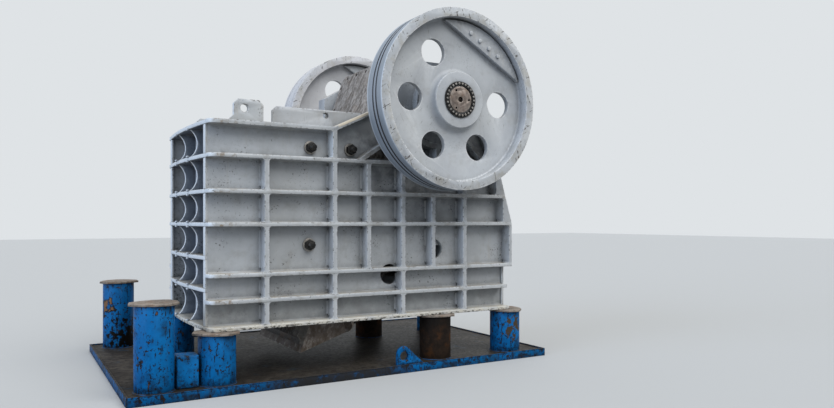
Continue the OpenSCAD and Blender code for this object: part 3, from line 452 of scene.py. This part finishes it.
# The stand's deck is trodden bare plate on top and blue on its sides, darker along the middle of the long
# ones, with painted shade on its top under the machine
deckLook = {
    "soot": "#1d1c1b", "paint": "#045d9a", "faded": "#055182", "grime": "#20303c", "dust": "#45423e",
    "chip": "#1c1917", "bright": "#1f6da4", "dirt": 0.95, "sheen": 0.05, "specks": 1.0, "settled": 0.2,
    "corners": 0.7, "edgeBrightening": 0.4, "worn": 1.0, "scratched": 0.9, "chips": 1.0, "primer": "#4a3628",
    "deck": "#36322e", "deckLight": "#4b4640", "deckDark": "#24211f", "blueLeft": "#2c4a60",
    "deckShadeUnder": "#171513", "darkerMiddle": "#2a2a2b", "darkerFrom": (-1.2, -0.9), "darkerTo": (0.55, 0.15)}
standDeck = enamelOnPlate("troddenDeckPlate", deckLook)
tree = standDeck.node_tree
# the sides darker in patches along their middle
coat(tree, deckLook["darkerMiddle"], along(tree, "X", *deckLook["darkerFrom"]),
     along(tree, "X", *deckLook["darkerTo"]), patches(tree, 120, 0.24, 0.44, 0.95, detail=8, shift=37))
deck = layOver(tree, deckLook["deck"], deckLook["deckLight"], patches(tree, 300, 0.36, 0.62))
deck = layOver(tree, deck, deckLook["deckDark"], patches(tree, 70, 0.45, 0.62, 0.8, detail=10, shift=3))
deck = layOver(tree, deck, deckLook["blueLeft"], patches(tree, 210, 0.6, 0.7, 0.5, detail=8, shift=8))
# the deck's top darkened where the machine covers it: painted shade
deck = layOver(tree, deck, deckLook["deckShadeUnder"], inCorners(tree, 900), 0.9)
coat(tree, deck, facing(tree, (0, 0, 1), 0.5, 0.7))
print("bare finishes made")


def addObject(name, data):
    made = bpy.data.objects.new(name, data)
    bpy.context.scene.collection.objects.link(made)
    return made


def meshFrom(bm, name):
    mesh = bpy.data.meshes.new(name)
    bm.to_mesh(mesh)
    bm.free()
    return mesh


# How the copies of the CAD nodes are refined: points merged in m, flats and corners told by degrees
refined = {"merge": 1e-5, "flat": 0.5, "corner": 35}


# A finer copy of a CAD node: its flats made whole, its edges broken by a bevel in mm, its rounds smooth
def dress(node, finish, body, bevel, cutters=(), name=None):
    first, *rest = node.split("_")
    name = name or first + "".join(word.capitalize() for word in rest)
    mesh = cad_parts[node].data.copy()
    bm = bmesh.new()
    bm.from_mesh(mesh)
    bmesh.ops.remove_doubles(bm, verts=bm.verts, dist=refined["merge"])
    bmesh.ops.dissolve_limit(bm, angle_limit=math.radians(refined["flat"]), verts=bm.verts, edges=bm.edges,
                             delimit={"NORMAL"})
    bm.to_mesh(mesh)
    bm.free()
    mesh.materials.clear()
    mesh.materials.append(finish)
    mesh.shade_smooth()
    piece = addObject(name, mesh)
    for cutter in cutters:
        cut = piece.modifiers.new("cut", "BOOLEAN")
        cut.object = cutter
        cut.operation = "DIFFERENCE"
        cut.solver = "EXACT"
    rounding = piece.modifiers.new("rounding", "BEVEL")
    rounding.width = bevel / 1000
    rounding.segments = 2
    rounding.limit_method = "ANGLE"
    rounding.angle_limit = math.radians(refined["corner"])
    rounding.harden_normals = True
    piece.data = bpy.data.meshes.new_from_object(piece.evaluated_get(bpy.context.evaluated_depsgraph_get()))
    piece.modifiers.clear()
    bpy.data.meshes.remove(mesh)
    piece.data.name = name
    for cutter in cutters:
        bpy.data.objects.remove(cutter)
    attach(piece, body)
    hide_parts(node)


# A new piece from a bmesh that is already in place
def finishPiece(name, bm, finish, body, slotName, smooth=40):
    bmesh.ops.recalc_face_normals(bm, faces=bm.faces)
    mesh = meshFrom(bm, name)
    mesh.materials.append(finish)
    mesh.shade_smooth()
    mesh.set_sharp_from_angle(angle=math.radians(smooth))
    piece = addObject(name, mesh)
    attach(piece, body)
    return piece


def joinPieces(bm, parts):
    for part in parts:
        kept = meshFrom(part, "part")
        bm.from_mesh(kept)
        bpy.data.meshes.remove(kept)


# The pose of a thing that stands on a place and rises along the direction
def standAt(place, direction):
    return Matrix.Translation(place) @ Vector(direction).to_track_quat("Z", "Y").to_matrix().to_4x4()


# A round or many sided bar through a middle, its radius in mm and its length in m
def addRound(bm, middle, direction, radius, length, sides, turn=0.0):
    made = bmesh.ops.create_cone(bm, cap_ends=True, segments=sides, radius1=radius / 1000,
                                 radius2=radius / 1000, depth=length)
    pose = standAt(middle, direction) @ Matrix.Rotation(turn, 4, "Z")
    bmesh.ops.transform(bm, matrix=pose, verts=made["verts"])
    return {e for v in made["verts"] for e in v.link_edges}


def breakEdges(bm, edges, bevel, segments=2):
    bmesh.ops.bevel(bm, geom=list(edges), offset=bevel / 1000, affect="EDGES", segments=segments, profile=0.5,
                    material=-1)


# A head standing on a face at the given place, its outer rim broken, all in mm
def addHead(bm, at, direction, radius, height, sides, turn=0.0, bevel=1.5):
    high = height / 1000
    edges = addRound(bm, at + direction * high / 2, direction, radius, high, sides, turn)
    breakEdges(bm, [e for e in edges if all((v.co - at).dot(direction) > high * 0.9 for v in e.verts)], bevel)


# A bar between two places, its radius and the bevel of both rims in mm
def addBar(bm, start, end, radius, sides, bevel=0):
    edges = addRound(bm, (start + end) / 2, end - start, radius, (end - start).length, sides)
    if bevel:
        breakEdges(bm, [e for e in edges if e.calc_face_angle(0) > 1.0
                        and max(len(f.verts) for f in e.link_faces) > 4], bevel)


# Round bars that cut holes: each hole's place and direction, and its radius and depth in mm
def roundCutter(holes):
    bm = bmesh.new()
    for at, direction, radius, deep in holes:
        addRound(bm, at, direction, radius, 2 * deep / 1000, 24)
    return addObject("cutter", meshFrom(bm, "cutter"))


# The nodes of one table: each one's finish, its slot and how far its edges are broken in mm. A name that
# ends in _ stands for a near and a far one
def dressAll(body, looks):
    for name, (finish, slotName, bevel) in looks.items():
        for node in (name + "near", name + "far") if name.endswith("_") else (name,):
            dress(node, finish, body, bevel)


dressAll("frame", {
    "side_wall_": (framePaint, "frame_paint", 4), "side_ribs_": (flangePaint, "frame_paint", 5),
    "side_posts_": (postPaint, "frame_paint", 4), "side_flange_": (slopePaint, "frame_paint", 5),
    "front_wall": (bayPaint, "frame_paint", 4), "front_ribs": (frontRibPaint, "frame_paint", 5),
    "front_posts": (scallopPaint, "frame_paint", 4), "rear_wall": (framePaint, "frame_paint", 4),
    "toggle_beam": (framePaint, "frame_paint", 5), "bearing_housing_": (postPaint, "frame_paint", 8),
    "lifting_lug_": (flangePaint, "frame_paint", 4)})
print("frame dressed")

dressAll("frame", {
    "liner_bolts_": (zincWasher, "dark_steel", 2), "fixed_jaw": (manganeseSteel, "manganese_steel", 10),
    "toggle_seat": (groundSteel, "bare_steel", 3), "toggle_plate": (castSteel, "bare_steel", 6),
    "tension_rods": (groundSteel, "bare_steel", 3)})
# The guards' holes are cut wider than in the solids, as the photograph shows them
guardHole = {"x": 1256, "y": 790, "z": 2178, "radius": 33, "deep": 60}
for side, node in ((-1, "cheek_plates_near"), (1, "cheek_plates_far")):
    at = spot(guardHole["x"], side * guardHole["y"], guardHole["z"])
    hole = (at, (0, 1, 0), guardHole["radius"], guardHole["deep"])
    dress(node, guardPaint, "frame", 4, [roundCutter([hole])])
print("liners and toggle dressed")

dressAll("frame", {
    "stand_base": (standDeck, "stand_blue", 5), "stand_rim": (standDeck, "stand_blue", 3),
    "stand_lug": (standBlue, "stand_blue", 5), "short_posts": (standBlue, "stand_blue", 2),
    "rusty_posts": (rustyPipe, "rusty_steel", 2), "tall_posts": (standBlue, "stand_blue", 2),
    "square_post": (standBlue, "stand_blue", 14), "post_caps": (flameCut, "cap_steel", 3)})
print("stand dressed")

dressAll("rotor", {
    "flywheel_near": (wheelPaint, "frame_paint", 6), "flywheel_far": (flatWheelPaint, "frame_paint", 6),
    "counterweights_": (weightPaint, "frame_paint", 5), "locking_ring_": (blackOxide, "dark_steel", 2)})

# Holes in the shaft's ends: one in the middle and three tapped ones round it
shaftHoles = {"middle": 30, "tapped": 12, "circle": 108, "angles": (0, 120, 240), "deep": 45}


# A place round the shaft: its distance in mm, its angle and how far across the machine it lies
def roundIt(circle, angle, y):
    out = circle / 1000
    return Vector((shaftAt.x + out * math.cos(angle), y, shaftAt.z + out * math.sin(angle)))


holes = []
for end in [corner[1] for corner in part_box("eccentric_shaft")]:
    holes.append((roundIt(0, 0, end), (0, 1, 0), shaftHoles["middle"], shaftHoles["deep"]))
    for angle in shaftHoles["angles"]:
        at = roundIt(shaftHoles["circle"], math.radians(angle), end)
        holes.append((at, (0, 1, 0), shaftHoles["tapped"], shaftHoles["deep"]))
dress("eccentric_shaft", shaftSteel, "rotor", 3, [roundCutter(holes)])
print("rotor dressed")

# Swing jaw: the head's tapped holes lie along its top edge and down both ends, measured up its leaning face
headHoles = {"lean": 19, "back": 578, "foot": -190, "top": 3290, "first": 160, "half": 690, "inset": 42,
             "across": 260, "down": 300, "radius": 21, "deep": 40, "rows": 4}
lean = math.radians(headHoles["lean"])
leanUp = Vector((math.sin(lean), 0, math.cos(lean)))
leanOut = Vector((leanUp.z, 0, -leanUp.x))
seatFoot = shaftAt - leanOut * headHoles["back"] / 1000
seatLow = seatFoot - leanUp * ((seatFoot.z - spot(0, 0, headHoles["foot"]).z) / leanUp.z)
places = [(headHoles["top"] - headHoles["inset"], step * headHoles["across"]) for step in range(-2, 3)]
for side in (-1, 1):
    for row in range(headHoles["rows"]):
        up = headHoles["top"] - headHoles["first"] - row * headHoles["down"]
        places.append((up, side * (headHoles["half"] - headHoles["inset"])))
holes = [(seatLow + leanUp * (up / 1000) + Vector((0, y / 1000, 0)), leanOut, headHoles["radius"],
          headHoles["deep"]) for up, y in places]
dress("pitman", castSteel, "pitman", 8, [roundCutter(holes)], "swingJaw")
dressAll("pitman", {
    "moving_jaw": (manganeseSteel, "manganese_steel", 10),
    "jaw_wedge": (manganeseSteel, "manganese_steel", 6), "pitman_seat": (groundSteel, "bare_steel", 3)})
print("swing jaw dressed")

# Screws round each locking ring and hexagon heads round each bearing cover
shaftCircles = {
    "ringScrews": {"on": "locking_ring_", "count": 26, "start": 0, "circle": 171, "head": (11, 11, 12),
                   "turned": 0, "wears": (groundSteel, "rotor", "bare_steel")},
    "coverBolts": {"on": "bearing_housing_", "count": 12, "start": 0.5, "circle": 296, "head": (24, 19, 6),
                   "turned": 1, "wears": (blackOxide, "frame", "dark_steel")}}
# Round heads that hold each counterweight, in a row along its straight edge
weightBolts = {"angle": 60, "count": 4, "head": (23, 18, 24), "bevel": 5, "out": 722, "spacing": 139,
               "shift": 26}
weightTurn = math.radians(weightBolts["angle"])
outward = Vector((math.cos(weightTurn), 0, math.sin(weightTurn)))
sideways = Vector((-outward.z, 0, outward.x))

for side, label in ((-1, "Near"), (1, "Far")):
    out = Vector((0, side, 0))
    for name, look in shaftCircles.items():
        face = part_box(look["on"] + label.lower())[0 if side < 0 else 1][1]
        bm = bmesh.new()
        for i in range(look["count"]):
            angle = math.tau * (i + look["start"]) / look["count"]
            addHead(bm, roundIt(look["circle"], angle, face), out, *look["head"], angle * look["turned"])
        finishPiece(name + label, bm, *look["wears"])
    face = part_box("counterweights_" + label.lower())[0 if side < 0 else 1][1]
    bm = bmesh.new()
    for i in range(weightBolts["count"]):
        shift = weightBolts["shift"] + (i - (weightBolts["count"] - 1) / 2) * weightBolts["spacing"]
        at = roundIt(0, 0, face) + (outward * weightBolts["out"] + sideways * shift) / 1000
        addHead(bm, at, out, *weightBolts["head"], 0, weightBolts["bevel"])
    finishPiece("weightBolts" + label, bm, wheelPaint, "rotor", "frame_paint")
print("rotor bolts made")

# Coil springs on the tension rods, each between a slanted seat on the rear wall and its plate and nuts
springLook = {"eye": (1665, 360, -115), "rise": 0.30144, "wall": 3450.5, "wire": 13, "radius": 62, "turns": 5,
              "steps": 28, "seatFrom": 1820, "start": 1905, "plateAt": 2155, "plate": 91, "plateThick": 25,
              "seat": 88, "nut": 52, "nutThick": 27, "slit": 1, "broken": 3}
rodLine = Vector((1, 0, springLook["rise"])).normalized()
springs = bmesh.new()
nuts = bmesh.new()
for side in (-1, 1):
    eye = spot(springLook["eye"][0], side * springLook["eye"][1], springLook["eye"][2])
    wire, start = springLook["wire"], springLook["start"]
    coil = bmesh.new()
    ring = bmesh.ops.create_circle(coil, cap_ends=False, segments=10, radius=wire / 1000)
    outOfLine = Matrix.Translation((springLook["radius"] / 1000, 0, 0))
    bmesh.ops.transform(coil, matrix=outOfLine @ Matrix.Rotation(math.pi / 2, 4, "X"), verts=ring["verts"])
    steps = springLook["turns"] * springLook["steps"]
    rise = (springLook["plateAt"] - start - 2 * wire) / 1000
    bmesh.ops.spin(coil, geom=coil.verts[:] + coil.edges[:], cent=(0, 0, 0), axis=(0, 0, 1), steps=steps,
                   dvec=(0, 0, rise / steps), angle=math.tau * springLook["turns"], use_merge=False)
    bmesh.ops.holes_fill(coil, edges=[e for e in coil.edges if e.is_boundary], sides=12)
    onRod = standAt(eye + rodLine * (start + wire) / 1000, rodLine)
    bmesh.ops.transform(coil, matrix=onRod, verts=coil.verts)
    seat = bmesh.new()
    addBar(seat, eye + rodLine * springLook["seatFrom"] / 1000, eye + rodLine * start / 1000,
           springLook["seat"], 40)
    wallFace = spot(springLook["wall"], 0, 0)
    cut = bmesh.ops.bisect_plane(seat, geom=seat.verts[:] + seat.edges[:] + seat.faces[:], plane_co=wallFace,
                                 plane_no=(1, 0, 0), clear_inner=True)
    bmesh.ops.edgeloop_fill(seat, edges=[e for e in cut["geom_cut"] if isinstance(e, bmesh.types.BMEdge)])
    joinPieces(springs, [coil, seat])
    plateStart = eye + rodLine * springLook["plateAt"] / 1000
    plateEnd = plateStart + rodLine * springLook["plateThick"] / 1000
    addBar(springs, plateStart, plateEnd, springLook["plate"], 40, springLook["broken"])
    thick, slit = [rodLine * springLook[key] / 1000 for key in ("nutThick", "slit")]
    for nutStart, nutEnd in ((plateEnd, plateEnd + thick), (plateEnd + thick + slit, plateEnd + thick * 2)):
        addBar(nuts, nutStart, nutEnd, springLook["nut"], 6, springLook["broken"])
rodSprings = finishPiece("rodSprings", springs, blackOxide, "frame", "dark_steel")
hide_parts("tension_springs")
finishPiece("rodNuts", nuts, groundSteel, "frame", "bare_steel")
print("springs made")

# Fillet welds: beads of the given leg with coarse ripples, which keep clear of the round holes, all in mm
weldLook = {"leg": 15, "step": 9, "ripple": 27, "swell": 0.1, "hollow": 0.2, "wall": 815, "from": 4,
            "notch": 40, "postHalf": 22.5, "topFace": 2000, "topEnd": 1250, "clear": 4, "stop": 8,
            "shortest": 20}
wallHoles = [(1995, 470, 112), (2572, 738, 112)]
up, ahead, aside = Vector((0, 0, 1)), Vector((1, 0, 0)), Vector((0, 1, 0))


# A bead in the corner between a rib and its plate, which lie the two given ways from its line
def bead(start, end, wallWay, ribWay, leg):
    bm = bmesh.new()
    length = (end - start).length
    steps = max(2, int(length * 1000 / weldLook["step"]))
    way = (end - start) / length
    made = bmesh.ops.create_grid(bm, x_segments=steps, y_segments=4, size=1)
    for vert in made["verts"]:
        onward = (vert.co.x + 1) / 2 * length
        turn = (vert.co.y + 1) / 2 * math.pi / 2
        crest = math.sin(2 * turn)
        wave = math.sin(onward * 1000 / weldLook["ripple"] * math.tau - crest * 1.2)
        reach = leg / 1000 * (1 - weldLook["hollow"] * crest + weldLook["swell"] * crest * wave)
        vert.co = start + way * onward + (wallWay * math.cos(turn) + ribWay * math.sin(turn)) * reach
    return bm


# The levels' lower and upper faces, with where each bead ends at the rear and which way the rib lies
levelFaces = {40: (3550, 1), 259: (3518, -1), 299: (3518, 1), 513: (3560, -1), 553: (3545, 1),
              1007: (3545, -1), 1047: (3535, 1), 1330: (3478, -1), 1370: (3465, 1), 1675: (3385, -1),
              1715: (3370, 1)}
# Rows of posts between the levels: the faces that they stand between, and where each post stands
widePosts, closePosts = (547, 1276, 2090, 2904), (547, 1276, 1669, 2090, 2480, 2904)
postRows = [(40, 259, widePosts), (299, 513, widePosts), (553, 1007, closePosts), (1047, 1330, closePosts),
            (1370, 1675, (547, 1276, 1669, 2090, 2904)), (1715, 2000, (1276,))]


# The stretches of a level or upright line that keep clear of the round holes
def clearOf(low, high, line, axis):
    stretches = [(low, high)]
    for hole in wallHoles:
        off = line - hole[1 - axis]
        if abs(off) >= hole[2] + weldLook["clear"]:
            continue
        half = math.sqrt(max(0, (hole[2] + weldLook["stop"]) ** 2 - off ** 2))
        a, b = hole[axis] - half, hole[axis] + half
        stretches = [part for lo, hi in stretches for part in ((lo, min(hi, a)), (max(lo, b), hi))
                     if part[1] - part[0] > weldLook["shortest"]]
    return stretches


for side, label in ((-1, "Near"), (1, "Far")):
    beads = []
    face, leg, first = side * weldLook["wall"], weldLook["leg"], weldLook["from"]
    out = Vector((0, side, 0))
    for height, (rear, way) in levelFaces.items():
        for lo, hi in clearOf(first, rear, height, 0):
            beads.append(bead(spot(lo, face, height), spot(hi, face, height), out, up * way, leg))
    top = weldLook["topFace"]
    beads.append(bead(spot(first, face, top), spot(weldLook["topEnd"], face, top), out, -up, leg))
    for low, high, posts in postRows:
        for post in posts:
            for way in (-1, 1):
                edge = post + way * weldLook["postHalf"]
                for lo, hi in clearOf(low + weldLook["notch"], high - weldLook["notch"], edge, 1):
                    beads.append(bead(spot(edge, face, lo), spot(edge, face, hi), out, ahead * way, leg))
    welds = bmesh.new()
    joinPieces(welds, beads)
    finishPiece("sideWelds" + label, welds, weldMetal, "frame", "frame_paint")

# The front's welds end in a round knot at each scallop's foot and head
frontWeld = {"leg": 12, "face": 150, "half": 765, "posts": (-272, 272), "postHalf": 16, "gap": 6, "knot": 20,
             "knotAt": -62, "knotLift": 4}
frontRows = [(40, 368), (408, 683), (723, 1007), (1047, 1330), (1370, 1675), (1715, 2000)]
beads = []
face, half, leg, gap = frontWeld["face"], frontWeld["half"], frontWeld["leg"], frontWeld["gap"]
for low, high in frontRows:
    for height, way in ((low, up), (high, -up)):
        beads.append(bead(spot(face, -half, height), spot(face, half, height), -ahead, way, leg))
    for post in frontWeld["posts"]:
        for way in (-1, 1):
            edge = post + way * frontWeld["postHalf"]
            start, end = spot(face, edge, low + gap), spot(face, edge, high - gap)
            beads.append(bead(start, end, -ahead, aside * way, leg))
        for height, way in ((low, 1), (high, -1)):
            knot = bmesh.new()
            bmesh.ops.create_icosphere(knot, subdivisions=2, radius=frontWeld["knot"] / 1000)
            at = spot(frontWeld["knotAt"], post, height + way * frontWeld["knotLift"])
            bmesh.ops.transform(knot, matrix=Matrix.Translation(at) @ Matrix.Diagonal((1, 1.3, 0.7, 1)),
                                verts=knot.verts)
            beads.append(knot)
welds = bmesh.new()
joinPieces(welds, beads)
finishPiece("frontWelds", welds, frontWeldPaint, "frame", "frame_paint")
print("frame welds made")

# Ring welds round the feet of the stand's round posts, whose places are read off the posts' lowest points
footLook = {"leg": 9, "steps": 56, "deck": 78, "apart": 500}
welds = bmesh.new()
for node in ("short_posts", "rusty_posts", "tall_posts"):
    feet = {}
    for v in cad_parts[node].data.vertices:
        if v.co.z < (footLook["deck"] + 1) / 1000:
            foot = Vector((v.co.x, v.co.y))
            key = next((k for k in feet if (Vector(k) - foot).length < footLook["apart"] / 1000), tuple(foot))
            feet.setdefault(key, []).append(v.co.copy())
    for points in feet.values():
        xs, ys = [p.x for p in points], [p.y for p in points]
        centre = Vector(((min(xs) + max(xs)) / 2, (min(ys) + max(ys)) / 2, footLook["deck"] / 1000))
        radius, leg = (max(xs) - min(xs)) / 2, footLook["leg"] / 1000
        part = bmesh.new()
        corners = [part.verts.new(centre + Vector((radius + x, 0, z)))
                   for x, z in ((leg, 0), (leg * 0.6, leg * 0.6), (-0.001, leg))]
        edges = [part.edges.new(corners[:2]), part.edges.new(corners[1:])]
        bmesh.ops.spin(part, geom=corners + edges, cent=centre, axis=(0, 0, 1), angle=math.tau,
                       steps=footLook["steps"], use_merge=True)
        joinPieces(welds, [part])
finishPiece("footWelds", welds, standDeck, "frame", "stand_blue")
print("stand welds made")

# Flat bars on the side walls' front edges, and on their rear edges between the two lowest levels
edgeBars = {
    "rearEdgeBars": {"x": (3532, 3562), "y": (815, 839), "rows": ((40, 259), (299, 513)), "rounded": 6},
    "frontEdgeBars": {"x": (-20, 4), "y": (738, 817), "rows": frontRows, "rounded": 6}}
for name, look in edgeBars.items():
    bm = bmesh.new()
    for side in (-1, 1):
        for low, high in look["rows"]:
            lo, hi = [spot(x, side * y, z) for x, y, z in zip(look["x"], look["y"], (low, high))]
            size = hi - lo
            stretch = Matrix.Diagonal((abs(size.x), abs(size.y), abs(size.z), 1))
            made = bmesh.ops.create_cube(bm, size=1, matrix=Matrix.Translation((lo + hi) / 2) @ stretch)
            breakEdges(bm, {e for v in made["verts"] for e in v.link_edges}, look["rounded"], 3)
    finishPiece(name, bm, flangePaint, "frame", "frame_paint")

# Liner bolts outside the walls: a dished washer, a chamfered nut and a threaded stub over each bolt
linerBolt = {"places": ((1057, 1822), (1514, 1822), (1042, 811)), "wall": 815, "washer": 70,
             "washerThick": 15, "nut": 57, "nutTop": 62, "stub": 28, "stubTop": 128, "threadHeight": 3,
             "threadSteps": 20, "pitch": 8}
washers, nuts = bmesh.new(), bmesh.new()
for side in (-1, 1):
    for x, z in linerBolt["places"]:
        foot = spot(x, side * linerBolt["wall"], z)
        out = Vector((0, side * 0.001, 0))
        washerTop, nutTop = foot + out * linerBolt["washerThick"], foot + out * linerBolt["nutTop"]
        addBar(washers, foot, washerTop, linerBolt["washer"], 40, 4)
        addBar(nuts, washerTop, nutTop, linerBolt["nut"], 6, 5)
        addBar(nuts, nutTop, foot + out * linerBolt["stubTop"], linerBolt["stub"], 28, 3)
        # the thread is a three sided ridge wound up the stub
        part = bmesh.new()
        inner, pitch = (linerBolt["stub"] - 1) / 1000, linerBolt["pitch"] / 1000
        outer = inner + linerBolt["threadHeight"] / 1000
        profile = ((inner, 0, -pitch / 2), (outer, 0, 0), (inner, 0, pitch / 2))
        corners = [part.verts.new(at) for at in profile]
        edges = [part.edges.new(corners[:2]), part.edges.new(corners[1:])]
        turns = (linerBolt["stubTop"] - linerBolt["nutTop"] - linerBolt["pitch"]) / linerBolt["pitch"]
        steps = int(turns * linerBolt["threadSteps"])
        bmesh.ops.spin(part, geom=corners + edges, cent=(0, 0, 0), axis=(0, 0, 1), angle=math.tau * turns,
                       steps=steps, dvec=(0, 0, pitch * turns / steps), use_merge=False)
        start = foot + out * (linerBolt["nutTop"] + linerBolt["pitch"] / 2)
        bmesh.ops.transform(part, matrix=standAt(start, (0, side, 0)), verts=part.verts)
        joinPieces(nuts, [part])
finishPiece("linerWashers", washers, groundSteel, "frame", "bare_steel")
finishPiece("linerNuts", nuts, blackOxide, "frame", "dark_steel", 25)
print("bars and threads made")

# Floor and backdrop: a plain pale sheet, paler to the eye than to the light that it throws back
floorLook = {"size": 60, "seen": "#b9bbbc", "thrown": "#6c6d6d", "rough": 0.8}
bm = bmesh.new()
bmesh.ops.create_grid(bm, x_segments=1, y_segments=1, size=floorLook["size"])
floor = addObject("floor", meshFrom(bm, "floor"))
paleFloor, tree, shader = startFinish("paleFloor", floorLook["rough"], 0, 0.5, floorLook["thrown"])
floor.data.materials.append(paleFloor)


# 1 for what the camera sees itself or in a shiny surface
def seenDirectly(tree):
    rays = addNode(tree, "ShaderNodeLightPath").outputs
    return addNode(tree, "ShaderNodeMath", {0: rays["Is Camera Ray"], 1: rays["Is Glossy Ray"]},
                   operation="MAXIMUM").outputs[0]


coat(tree, floorLook["seen"], seenDirectly(tree))

# Soft studio light: a pale room, a broad soft lamp from above the camera and a cooler one from the left
light = {"room": 0.52, "roomTint": "#eef3f8", "backdrop": "#dfe3e6",
         "lamps": {"key": (2.45, 54, (0.14, -0.6, 0.79), "#fffefb"),
                   "left": (1.5, 40, (-0.95, -0.13, 0.3), "#cbdefb")}}
room = bpy.data.worlds.new("room")
bpy.context.scene.world = room
room.use_nodes = True
tree = room.node_tree
tree.nodes.clear()
seen = addNode(tree, "ShaderNodeBackground", {"Color": srgb(light["backdrop"]), "Strength": 1.0})
lit = addNode(tree, "ShaderNodeBackground", {"Color": srgb(light["roomTint"]), "Strength": light["room"]})
mixed = addNode(tree, "ShaderNodeMixShader", {0: seenDirectly(tree), 1: lit.outputs[0], 2: seen.outputs[0]})
addNode(tree, "ShaderNodeOutputWorld", {0: mixed.outputs[0]})
for name, (power, width, source, tint) in light["lamps"].items():
    lamp = bpy.data.lights.new(name, "SUN")
    lamp.energy = power
    lamp.angle = math.radians(width)
    lamp.color = srgb(tint)[:3]
    addObject(name, lamp).rotation_euler = Vector(source).to_track_quat("Z", "Y").to_euler()

# Camera where the photograph was taken from: level, 1.6 m up, off the near front corner
view = {"place": (-3.270, -7.896, 1.645), "toward": (0.5075, 0.8616, 0.0), "lens": 30.07, "film": 36,
        "shiftUp": 0.0194}
cameraData = bpy.data.cameras.new("camera")
cameraData.lens = view["lens"]
cameraData.sensor_width = view["film"]
cameraData.shift_y = view["shiftUp"]
camera = addObject("camera", cameraData)
camera.location = view["place"]
camera.rotation_euler = (-Vector(view["toward"])).to_track_quat("Z", "Y").to_euler()
bpy.context.scene.camera = camera
bpy.context.scene.view_settings.view_transform = "Standard"
print("stage set")
